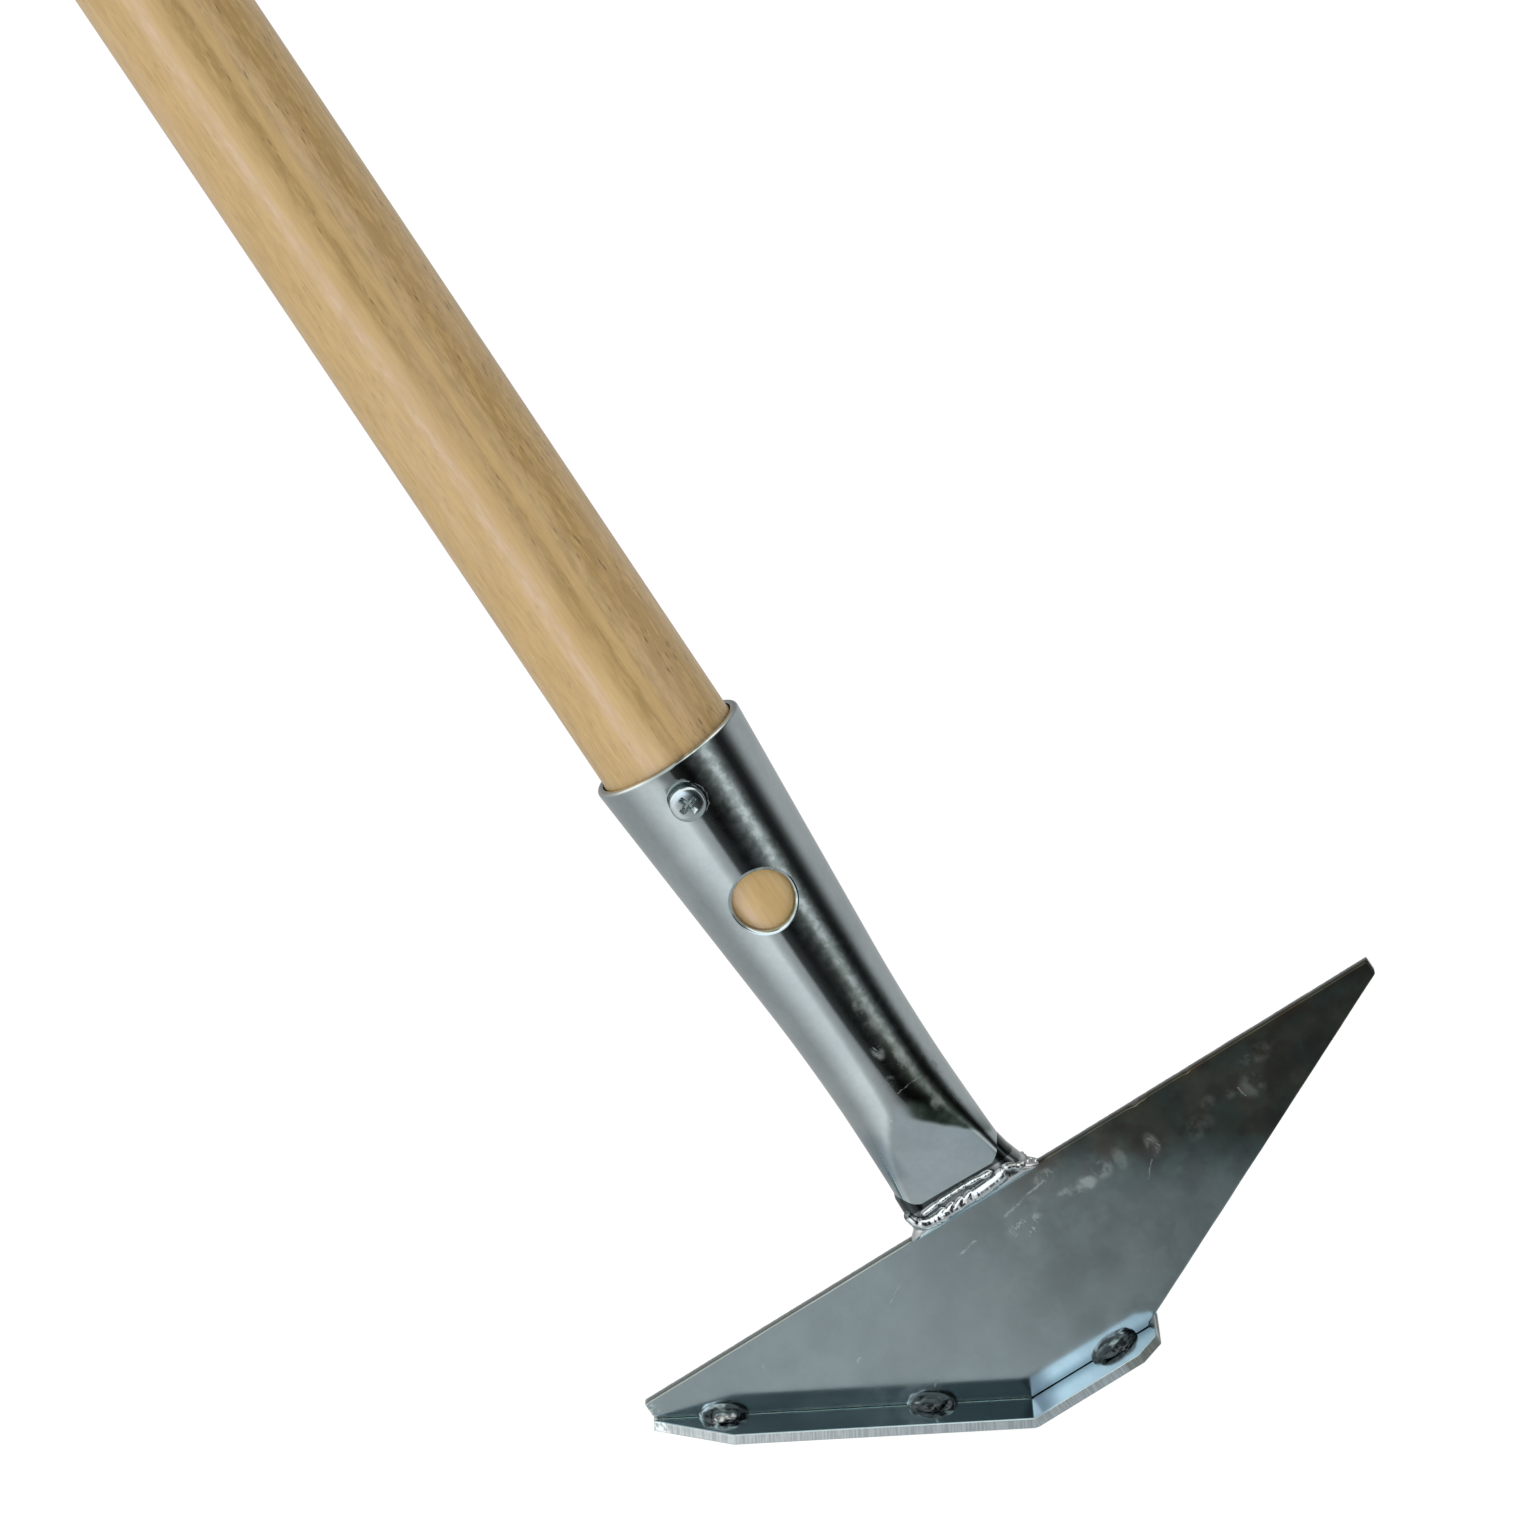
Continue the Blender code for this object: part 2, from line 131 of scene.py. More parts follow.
class HandleSettings(PropertyGroup):
    radius: size("Radius", "Half the thickness of the pole", 0.014)
    top_round: size("Top round", "Radius of the domed top", 0.009)
    end_chamfer: size("End chamfer", "Chamfer of the end inside the socket", 0.002)
    pale_wood: colour("Pale wood", "Late growth of the ash", (0.612, 0.407, 0.162))
    brown_wood: colour("Brown wood", "Early growth of the ash", (0.410, 0.262, 0.087))
    pore: colour("Pores", "Open pores of the early growth", (0.155, 0.095, 0.040))


class SocketSettings(PropertyGroup):
    mouth_diameter: size("Mouth diameter", "Outside diameter at the mouth", 0.0319)
    taper: share("Taper", "Loss of diameter for each metre down the cone", 0.1405)
    end_width: size("End width", "Width of the flat end", 0.0238)
    end_thickness: size("End thickness", "Thickness of the flat end", 0.0064)
    wall: size("Wall", "Thickness of the sheet", 0.0015)
    spread_start: size("Spread start", "Depth at which the cone starts to widen", 0.056)
    press_start: size("Press start", "Depth at which the cone starts to flatten", 0.080)
    hole_diameter: size("Hole diameter", "Diameter of the punched hole", 0.0121)
    hole_depth: size("Hole depth", "Depth of the hole below the mouth", 0.0328)
    hole_turn: turn("Hole turn", "Turn of the hole to the right of the front", 4.3)
    screw_depth: size("Screw depth", "Depth of the screw below the mouth", 0.0081)
    screw_turn: turn("Screw turn", "Turn of the screw to the right of the front", -1.0)
    dimple_depth: size("Dimple depth", "Depth of the flat seat under the screw head", 0.00038)
    sides: setting("Sides", "Faces round the socket", 160, IntProperty, min=24)


class ScrewSettings(PropertyGroup):
    head_diameter: size("Head diameter", "Diameter of the pan head", 0.0070)
    head_height: size("Head height", "Height of the pan head", 0.00185)
    shank_diameter: size("Shank diameter", "Diameter of the shank", 0.0032)
    length: size("Length", "Length under the head", 0.016)
    slot_turn: turn("Slot turn", "Turn of the cross recess", 20.0)


class BladeSettings(PropertyGroup):
    tip_height: size("Tip height", "Height of the blunt tips", 0.0032)
    left_slope: turn("Left slope", "Slope of the left edge", 29.6)
    right_slope: turn("Right slope", "Slope of the right edge", 26.0)
    edge_round: size("Edge round", "Rounding along both faces", 0.0003)
    edge_wear: size("Edge wear", "Unevenness of the sheared edges", 0.00012)


class SoleSettings(PropertyGroup):
    thickness: size("Thickness", "Thickness of the strip", 0.002)
    width: size("Width", "Width of the strip", 0.028)
    nose_width: size("Nose width", "Width of the pointed end", 0.006)
    nose_length: size("Nose length", "Length of the point", 0.0155)
    end_overhang: size("End overhang", "Reach past the blade's corner", 0.0012)
    end_cut_length: size("Corner length", "Length of the cut corners", 0.0042)
    end_cut_width: size("Corner width", "Width of the cut corners", 0.0050)
    bend_radius: size("Bend radius", "Inside radius of the bend", 0.0010)
    edge_wear: size("Edge wear", "Depth of the shear marks", 0.00010)


class WeldSettings(PropertyGroup):
    tack_length: size("Tack length", "Length of a tack weld along the sole", 0.0106)
    tack_height: size("Tack height", "Height of a tack weld on the blade", 0.0024)
    tack_depth: size("Tack depth", "Reach of a tack weld over the sole", 0.0066)
    left_tack: size("Left tack", "Place of the left tack, from the nose", 0.0136)
    middle_tack: size("Middle tack", "Place of the middle tack, from the nose", 0.0543)
    right_tack: size("Right tack", "Place of the right tack, past the bend", 0.0191)
    voxel: size("Grain", "Size of the grid that melts the drops together", 0.00013)


class ZincSettings(PropertyGroup):
    bright: colour("Bright zinc", "Fresh plating", (0.600, 0.680, 0.700))
    dull: colour("Dull zinc", "Handled plating", (0.500, 0.575, 0.595))
    sheared: colour("Sheared zinc", "Torn metal along the cut edges", (0.620, 0.680, 0.700))
    weld: colour("Plated weld", "Plating on the weld metal", (0.700, 0.740, 0.750))


class ScraperSettings(PropertyGroup):
    stage: PointerProperty(type=StageSettings)
    handle: PointerProperty(type=HandleSettings)
    socket: PointerProperty(type=SocketSettings)
    screw: PointerProperty(type=ScrewSettings)
    blade: PointerProperty(type=BladeSettings)
    sole: PointerProperty(type=SoleSettings)
    weld: PointerProperty(type=WeldSettings)
    zinc: PointerProperty(type=ZincSettings)


def chosen():
    return bpy.context.scene.scraper


# Meshes and pieces


def loft(name, rings, joined=False):
    """Mesh between rings of points, with flat ends, or with the last ring joined to the first."""
    count = len(rings[0])
    pairs = [(i, i + 1) for i in range(len(rings) - 1)]
    if joined:
        pairs.append((len(rings) - 1, 0))
    faces = []
    for upper, lower in pairs:
        for i in range(count):
            j = (i + 1) % count
            faces.append((upper * count + i, lower * count + i, lower * count + j, upper * count + j))
    if not joined:
        faces.append(tuple(range(count)))
        faces.append(tuple(range(len(rings) * count - 1, (len(rings) - 1) * count - 1, -1)))
    mesh = bpy.data.meshes.new(name)
    mesh.from_pydata([point for ring in rings for point in ring], [], faces)
    return point_outward(mesh)


def point_outward(mesh):
    shape = bmesh.new()
    shape.from_mesh(mesh)
    bmesh.ops.recalc_face_normals(shape, faces=shape.faces)
    shape.to_mesh(mesh)
    shape.free()
    return mesh


def smooth(mesh, degrees=38):
    """Smooth shading, with sharp edges at corners and round the flat ends."""
    mesh.shade_smooth()
    mesh.set_sharp_from_angle(angle=math.radians(degrees))
    flat_edges = {key for face in mesh.polygons if len(face.vertices) > 8 for key in face.edge_keys}
    for edge in mesh.edges:
        if tuple(sorted(edge.vertices)) in flat_edges:
            edge.use_edge_sharp = True
    return mesh


def place(name, mesh):
    item = bpy.data.objects.new(name, mesh)
    bpy.context.scene.collection.objects.link(item)
    return item


def mark_points(mesh, name, values):
    mesh.attributes.new(name, "FLOAT", "POINT").data.foreach_set("value", values)


def settle(item):
    """Turn what an object's modifiers make into its plain mesh."""
    shapes = bpy.context.evaluated_depsgraph_get()
    mesh = bpy.data.meshes.new_from_object(item.evaluated_get(shapes), depsgraph=shapes)
    item.modifiers.clear()
    old = item.data
    item.data = mesh
    bpy.data.meshes.remove(old)
    return item


def carve(item, cutters):
    """Cut the cutters out of an object and remove them."""
    for cutter in cutters:
        modifier = item.modifiers.new(cutter.name, "BOOLEAN")
        modifier.operation = "DIFFERENCE"
        modifier.solver = "EXACT"
        modifier.object = cutter
    settle(item)
    for cutter in cutters:
        bpy.data.objects.remove(cutter, do_unlink=True)


def finish_piece(item, material, slot, *nodes):
    """Give a piece its material and let it ride on the part in place of its nodes."""
    item.data.materials.clear()
    item.data.materials.append(material)
    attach(item, "root")
    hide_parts(*nodes)


def circle(radius, height, sides):
    angles = [2 * math.pi * i / sides for i in range(sides)]
    return [Vector((radius * math.cos(a), radius * math.sin(a), height)) for a in angles]


def front_axis(turned, depth):
    """A frame at a depth below the socket's mouth, with +Z pointing outward at a turn from the front."""
    outward = Matrix.Rotation(turned, 4, "Z") @ Matrix.Rotation(math.pi / 2, 4, "X")
    return Matrix.Translation((0, 0, MOUTH - depth)) @ outward


def lofted_cutter(name, rings, axis):
    mesh = loft(name, rings)
    mesh.transform(axis)
    return place(name, mesh)


# Shapes of the socket, the blade and the sole


def socket_half_sizes(depth):
    """Half width and half thickness of the socket at a depth below its mouth."""
    s = chosen().socket
    length = MOUTH - SOCKET_END
    cone_radius = (s.mouth_diameter - s.taper * depth) / 2
    end_radius = (s.mouth_diameter - s.taper * length) / 2
    spread = max(0.0, (depth - s.spread_start) / (length - s.spread_start))
    pressed = max(0.0, (depth - s.press_start) / (length - s.press_start))
    widened = (s.end_width / 2 - end_radius) * spread**SPREAD_POWER
    flattened = (end_radius - s.end_thickness / 2) * pressed**2 * (3 - 2 * pressed)
    return cone_radius + widened, cone_radius - flattened


def socket_ring(height, swell=0.0, left=None, right=None):
    """Points round the socket's section: flat at the front and back, with ends squarer lower down."""
    s = chosen().socket
    depth = MOUTH - max(height, SOCKET_END)
    half_width, half_thickness = socket_half_sizes(depth)
    pressed = max(0.0, (depth - s.press_start) / (MOUTH - SOCKET_END - s.press_start))
    power = 1.0 - SQUARER * pressed
    flat = half_width - half_thickness
    left_round = half_thickness + (swell if left is None else left)
    right_round = half_thickness + (swell if right is None else right)
    ring = []
    for i in range(s.sides):
        angle = 2 * math.pi * (i + 0.5) / s.sides
        across = math.copysign(abs(math.cos(angle)) ** power, math.cos(angle))
        forward = math.copysign(abs(math.sin(angle)) ** power, math.sin(angle))
        x = (right_round if across > 0 else left_round) * across + math.copysign(flat, across)
        ring.append(Vector((x, (half_thickness + swell) * forward, height)))
    return ring


def unevenness(x, y, z):
    """Smooth noise from 0 to 1."""
    return 0.5 + 0.5 * noise.noise(Vector((x, y, z)))


def hump(value, middle, width):
    """A smooth hump that is 1 at its middle and falls to 0 on both sides."""
    return math.exp(-(((value - middle) / width) ** 2))


def blade_corners():
    """Corners of the blade: along the top, down the right edge, and back up the left edge."""
    s = chosen().blade
    drop = BLADE_TOP - BLADE_BOTTOM - s.tip_height
    bend_x = BLADE_LOW.x + drop / math.tan(s.left_slope)
    corner_x = BLADE_HIGH.x - drop / math.tan(s.right_slope)
    return [
        (BLADE_LOW.x, BLADE_TOP),
        (BLADE_HIGH.x, BLADE_TOP),
        (BLADE_HIGH.x, BLADE_TOP - s.tip_height),
        (corner_x, BLADE_BOTTOM),
        (bend_x, BLADE_BOTTOM),
        (BLADE_LOW.x, BLADE_TOP - s.tip_height),
    ]


def sole_long_leg():
    """Length of the sole's long leg, from its nose at the blade's left end to the bend."""
    corners = blade_corners()
    return (corners[4][0] - corners[5][0]) / math.cos(chosen().blade.left_slope)


def sole_point(along, across, lift=0.0):
    """A point on the sole: along it from the nose, across it to the back, and above its top."""
    slope = chosen().blade.left_slope
    inside = chosen().sole.bend_radius
    top = chosen().sole.thickness
    long_leg = sole_long_leg()
    start_x = blade_corners()[4][0] - GAP * math.tan(slope / 2)
    setback = inside * math.tan(slope / 2)
    past = along - long_leg
    if past >= setback:
        return Vector((start_x + past, across, top + lift))
    if past <= -setback:
        x = start_x + past * math.cos(slope) + lift * math.sin(slope)
        return Vector((x, across, top - past * math.sin(slope) + lift * math.cos(slope)))
    bend = slope * (setback - past) / (2 * setback)
    reach = inside - lift
    x = start_x + setback - reach * math.sin(bend)
    return Vector((x, across, top + inside - reach * math.cos(bend)))


# Node trees


class Graph:
    """Adds nodes to a tree, and fills their inputs with values or with other nodes' outputs."""

    def __init__(self, tree):
        self.tree = tree

    def fill(self, node, inputs):
        for name, value in inputs.items():
            if isinstance(value, bpy.types.NodeSocket):
                self.tree.links.new(value, node.inputs[name])
            else:
                node.inputs[name].default_value = value

    def add(self, kind, inputs=None, **settings):
        """The outputs of a new node."""
        node = self.tree.nodes.new(kind)
        for name, value in settings.items():
            setattr(node, name, value)
        self.fill(node, inputs or {})
        return node.outputs

    def maths(self, operation, *values, clamp=False):
        inputs = dict(enumerate(values))
        return self.add("ShaderNodeMath", inputs, operation=operation, use_clamp=clamp)[0]

    def times(self, *values):
        return reduce(lambda one, two: self.maths("MULTIPLY", one, two), values)

    def most(self, values):
        return reduce(lambda one, two: self.maths("MAXIMUM", one, two), values)

    def minus(self, first, second):
        return self.maths("SUBTRACT", first, second)

    def vector(self, operation, *values):
        number = operation in ("DOT_PRODUCT", "DISTANCE", "LENGTH")
        outputs = self.add("ShaderNodeVectorMath", dict(enumerate(values)), operation=operation)
        return outputs["Value" if number else "Vector"]

    def scaled(self, vector, factor):
        return self.add("ShaderNodeVectorMath", {0: vector, "Scale": factor}, operation="SCALE")[0]

    def remap(self, value, low, high, to_low=0.0, to_high=1.0, steps="SMOOTHSTEP"):
        inputs = {"Value": value, "From Min": low, "From Max": high, "To Min": to_low, "To Max": to_high}
        return self.add("ShaderNodeMapRange", inputs, interpolation_type=steps)["Result"]

    def blend(self, amount, first, second, mode="MIX"):
        """Mix two colours, each given as three numbers or as an output."""
        tones = [c if isinstance(c, bpy.types.NodeSocket) else (*c, 1.0) for c in (first, second)]
        inputs = {0: amount, 6: tones[0], 7: tones[1]}
        return self.add("ShaderNodeMix", inputs, data_type="RGBA", blend_type=mode)[2]

    def ramp(self, value, stops, steps="LINEAR"):
        """Colour ramp from (position, colour or grey) pairs."""
        output = self.add("ShaderNodeValToRGB", {"Fac": value})["Color"]
        band = output.node.color_ramp
        band.interpolation = steps
        while len(band.elements) < len(stops):
            band.elements.new(0.5)
        for element, (position, tone) in zip(band.elements, stops):
            element.position = position
            element.color = (*tone, 1.0) if isinstance(tone, tuple) else (tone, tone, tone, 1.0)
        return output


class Finish(Graph):
    """Node tree of a material, which reads Object coordinates."""

    def __init__(self, name):
        self.material = bpy.data.materials.new(name)
        self.material.use_nodes = True
        super().__init__(self.material.node_tree)
        self.shader = self.tree.nodes["Principled BSDF"]
        self.place = self.add("ShaderNodeTexCoord")["Object"]
        self.x, self.y, self.z = self.add("ShaderNodeSeparateXYZ", {"Vector": self.place})

    def shade(self, inputs, bump_strength, bump_distance, height):
        """Fill the shader's inputs, and bump its surface by a height."""
        inputs["Normal"] = self.add(
            "ShaderNodeBump", {"Strength": bump_strength, "Distance": bump_distance, "Height": height}
        )[0]
        self.fill(self.shader, inputs)
        return self.material

    def mark(self, name):
        """A value that the mesh carries as an attribute."""
        return self.add("ShaderNodeAttribute", attribute_name=name)["Fac"]

    def stretched(self, scale, location=(0.0, 0.0, 0.0), at=None):
        inputs = {"Vector": at or self.place, "Scale": scale, "Location": location}
        return self.add("ShaderNodeMapping", inputs)[0]

    def clouds(self, scale, detail=2.0, roughness=0.5, at=None):
        inputs = {"Vector": at or self.place, "Scale": scale, "Detail": detail, "Roughness": roughness}
        return self.add("ShaderNodeTexNoise", inputs)["Fac"]

    def grain(self, scale, detail=2.0, roughness=0.5, location=(0.0, 0.0, 0.0)):
        """Clouds with a scale of their own along each axis."""
        return self.clouds(1.0, detail, roughness, self.stretched(scale, location))

    def on_front(self, masks):
        """One mask from several, on the front faces alone."""
        return self.times(self.most(masks), self.maths("LESS_THAN", self.y, -0.0005))

    def strokes(self, lines):
        """Mask of strokes on the front: from one (x, z) to another, with a width, in millimetres."""
        wobble = 0.0008
        jitter = self.add("ShaderNodeTexNoise", {"Vector": self.place, "Scale": 600.0})["Color"]
        middle = self.vector("SUBTRACT", jitter, (0.5, 0.5, 0.5))
        shifted = self.vector("MULTIPLY_ADD", middle, (wobble, 0.0, wobble), self.place)
        flat = self.vector("MULTIPLY", shifted, (1.0, 0.0, 1.0))
        masks = []
        for x1, z1, x2, z2, width in lines:
            run = Vector((x2 - x1, 0.0, z2 - z1)) / 1000
            away = self.vector("SUBTRACT", flat, Vector((x1, 0.0, z1)) / 1000)
            along = self.vector("DOT_PRODUCT", away, run / run.length_squared)
            nearest = self.scaled(run, self.maths("ADD", along, 0.0, clamp=True))
            masks.append(self.remap(self.vector("DISTANCE", away, nearest), 0.0, width * 0.0006, 1.0, 0.0))
        return self.on_front(masks)

    def rubbed(self, patches):
        """Mask of rubbed places on the front: curls inside (x, z, half width, half height, strength)."""
        curls = self.clouds(430.0, 3.0, 0.55, self.stretched((1.0, 1.0, 0.7)))
        curls = self.remap(self.maths("ABSOLUTE", self.minus(curls, 0.52)), 0.006, 0.035, 1.0, 0.0)
        broken = self.remap(self.clouds(700.0), 0.42, 0.58, 0.0, 0.6)
        soft = self.times(self.remap(self.clouds(260.0, 3.0), 0.43, 0.62), 0.85)
        curls = self.most([self.times(curls, broken), soft])
        masks = []
        for x, z, half_width, half_height, strength in patches:
            away = self.vector("SUBTRACT", self.place, Vector((x, 0.0, z)) / 1000)
            share_out = self.vector("MULTIPLY", away, (1000 / half_width, 0.0, 1000 / half_height))
            masks.append(self.remap(self.vector("LENGTH", share_out), 0.4, 1.0, strength, 0.0))
        return self.times(self.on_front(masks), curls)


# Materials


def ash_wood():
    """Ash with straight grain: pale bands, brown porous bands, long pores, a thin lacquer, and a painted
    lacquer highlight along one band.
    """
    s = chosen().handle
    g = Finish("ash wood")
    slow = g.grain((45.0, 45.0, 6.0), 3.0)
    quick = g.grain((420.0, 420.0, 60.0))
    across = g.maths("MULTIPLY_ADD", g.y, 0.22, g.x)
    wobble = g.maths("MULTIPLY_ADD", g.minus(slow, 0.5), 0.006, across)
    ripple = g.maths("MULTIPLY_ADD", g.minus(quick, 0.5), 0.0018, wobble)
    ring = g.remap(ripple, -0.018, 0.018, steps="LINEAR")
    early = g.ramp(ring, [
        (0.00, 0.35), (0.08, 0.80), (0.14, 0.42), (0.22, 0.38), (0.31, 0.32), (0.36, 0.02),
        (0.41, 0.02), (0.45, 0.52), (0.48, 0.72), (0.51, 0.76), (0.53, 0.12), (0.55, 0.00),
        (0.57, 0.25), (0.595, 0.78), (0.64, 0.68), (0.69, 1.05), (0.74, 1.15), (0.83, 1.15),
        (0.88, 1.05), (0.94, 0.90), (1.00, 0.40),
    ], "EASE")
    shaved = g.remap(g.z, 0.126, 0.146, 0.15, 1.0)
    flecks = g.grain((1000.0, 1000.0, 170.0), 3.0, 0.65)
    early = g.times(early, shaved, g.remap(flecks, 0.38, 0.60, 0.45, 1.15))
    tone = g.blend(early, s.pale_wood, s.brown_wood)

    fibre = g.grain((1900.0, 1900.0, 130.0), 3.0, 0.6)
    tone = g.blend(0.34, tone, g.ramp(fibre, [(0.25, 0.32), (0.75, 0.70)]), "OVERLAY")
    # Pink patches of the wood's own tone, and a painted highlight of the lacquer along one band of the
    # grain.
    pink = g.remap(g.grain((110.0, 110.0, 14.0), location=(3.0, 1.0, 7.0)), 0.48, 0.72, 0.0, 0.30)
    painted_sheen = g.ramp(ring, [(0.27, 0.0), (0.30, 0.55), (0.325, 0.90), (0.35, 0.60), (0.38, 0.0)], "EASE")
    painted_sheen = g.times(painted_sheen, g.remap(flecks, 0.35, 0.60, 1.0, 0.45))
    tone = g.blend(g.most([pink, painted_sheen]), tone, (0.680, 0.480, 0.310))

    stretched = g.stretched((1700.0, 1700.0, 280.0))
    cells = g.add("ShaderNodeTexVoronoi", {"Vector": stretched, "Scale": 1.0})["Distance"]
    open_pores = g.times(g.remap(cells, 0.10, 0.34, 1.0, 0.0), early)
    dashes = g.times(open_pores, g.remap(g.grain((600.0, 600.0, 90.0)), 0.46, 0.58))
    tone = g.blend(g.times(dashes, 0.80), tone, s.pore)
    roughness = g.maths("MULTIPLY_ADD", dashes, 0.2, g.remap(fibre, 0.2, 0.8, 0.40, 0.54))
    lacquer = {"Coat Weight": 0.85, "Coat IOR": 1.75, "Coat Roughness": 0.25}
    relief = g.minus(g.times(fibre, 0.35), dashes)
    return g.shade({"Base Color": tone, "Roughness": roughness, **lacquer}, 0.35, 0.0001, relief)


def zinc_plating(name, tone, dull, roughness, grain, relief=0.4, painted_light_and_shade=(), marks=(), patches=()):
    """Bright zinc plating with cloudy tone and fine grain.

    Painted light and shade come as (function that gives a mask, colour factor) pairs, marks are strokes,
    some of which paint highlights, and patches are rubbed places. The attribute "sheared" marks cut edges,
    and "hollow" marks hollows, which get painted shade.
    """
    g = Finish(name)
    broad = g.clouds(55.0, 4.0)
    fine = g.clouds(grain)
    speck = g.clouds(2400.0)
    colours = g.blend(g.remap(broad, 0.30, 0.72), tone, dull)
    colours = g.blend(g.remap(speck, 0.62, 0.75, 0.0, 0.20), colours, dimmed(dull, 0.55))
    colours = g.blend(g.remap(fine, 0.30, 0.70, 0.0, 0.10), colours, dimmed(dull, 0.6))
    # Painted shade in hollows: darker where a point lies further below the smoothed skin.
    colours = g.blend(g.mark("hollow"), colours, (0.16, 0.18, 0.19), "MULTIPLY")

    torn = g.mark("sheared")
    upright = g.add("ShaderNodeCombineXYZ", {"X": g.mark("run"), "Y": g.y, "Z": g.z})[0]
    lines = g.clouds(1.0, 2.0, 0.6, g.stretched((2600.0, 150.0, 150.0), at=upright))
    sheared = chosen().zinc.sheared
    edge = g.blend(g.remap(lines, 0.40, 0.60), dimmed(sheared, 0.74), sheared)
    colours = g.blend(torn, colours, edge)
    # Painted light and shade: each mask darkens or lightens the colour by its factor.
    for mask, factor in painted_light_and_shade:
        colours = g.blend(mask(g), colours, factor, "MULTIPLY")

    bare = torn
    rough = g.remap(broad, 0.3, 0.7, roughness * 0.8, roughness * 1.25)
    # Rubbed places, and strokes that are wear marks or painted highlights, made lighter and less metallic.
    rubs_and_highlights = []
    if marks:
        broken = g.remap(g.clouds(900.0, 3.0), 0.40, 0.60, 0.25, 0.7)
        rubs_and_highlights.append(g.times(g.strokes(marks), broken))
    if patches:
        rubs_and_highlights.append(g.rubbed(patches))
    if rubs_and_highlights:
        rubs_and_highlights = g.most(rubs_and_highlights)
        colours = g.blend(g.times(rubs_and_highlights, 0.5), colours, (0.50, 0.54, 0.52))
        rough = g.maths("MULTIPLY_ADD", rubs_and_highlights, 0.35, rough)
        bare = g.most([torn, g.times(rubs_and_highlights, 0.8)])
    rough = g.add("ShaderNodeMix", {0: torn, 2: rough, 3: 0.50})[0]
    metallic = g.minus(1.0, g.times(bare, 0.55))
    surface = {"Base Color": colours, "Roughness": rough, "Metallic": metallic}
    return g.shade(surface, 1.0, 0.00001, g.times(fine, relief))


def dimmed(tone, factor):
    return tuple(factor * c for c in tone)


def zone(lines, without=(), ragged=0.0, mottled=0.0, grain=620.0):
    """A mask function: inside every half plane, from (x, z, push x, push z, softness) in millimetres.

    Places inside all the half planes of "without" are left out, and mottling breaks the mask up.
    """

    def mask(g):
        torn = g.times(g.minus(g.clouds(160.0, 4.0), 0.5), ragged)
        front = g.remap(g.y, -0.0010, 0.0014, 1.0, 0.0)

        def inside(planes):
            masks = [front]
            for x, z, push_x, push_z, softness in planes:
                offset = -(x * push_x + z * push_z) / 1000
                both = g.maths("MULTIPLY_ADD", g.z, push_z, g.times(g.x, push_x))
                reach = g.maths("ADD", g.maths("ADD", both, offset), torn)
                masks.append(g.remap(reach, -softness / 1000, softness / 1000))
            return g.times(*masks)

        total = inside(lines)
        if without:
            total = g.times(total, g.minus(1.0, inside(without)))
        if mottled:
            total = g.times(total, g.remap(g.clouds(grain, 3.0), 0.38, 0.60, 1.0 - mottled, 1.0))
        return total

    return mask


# Pieces


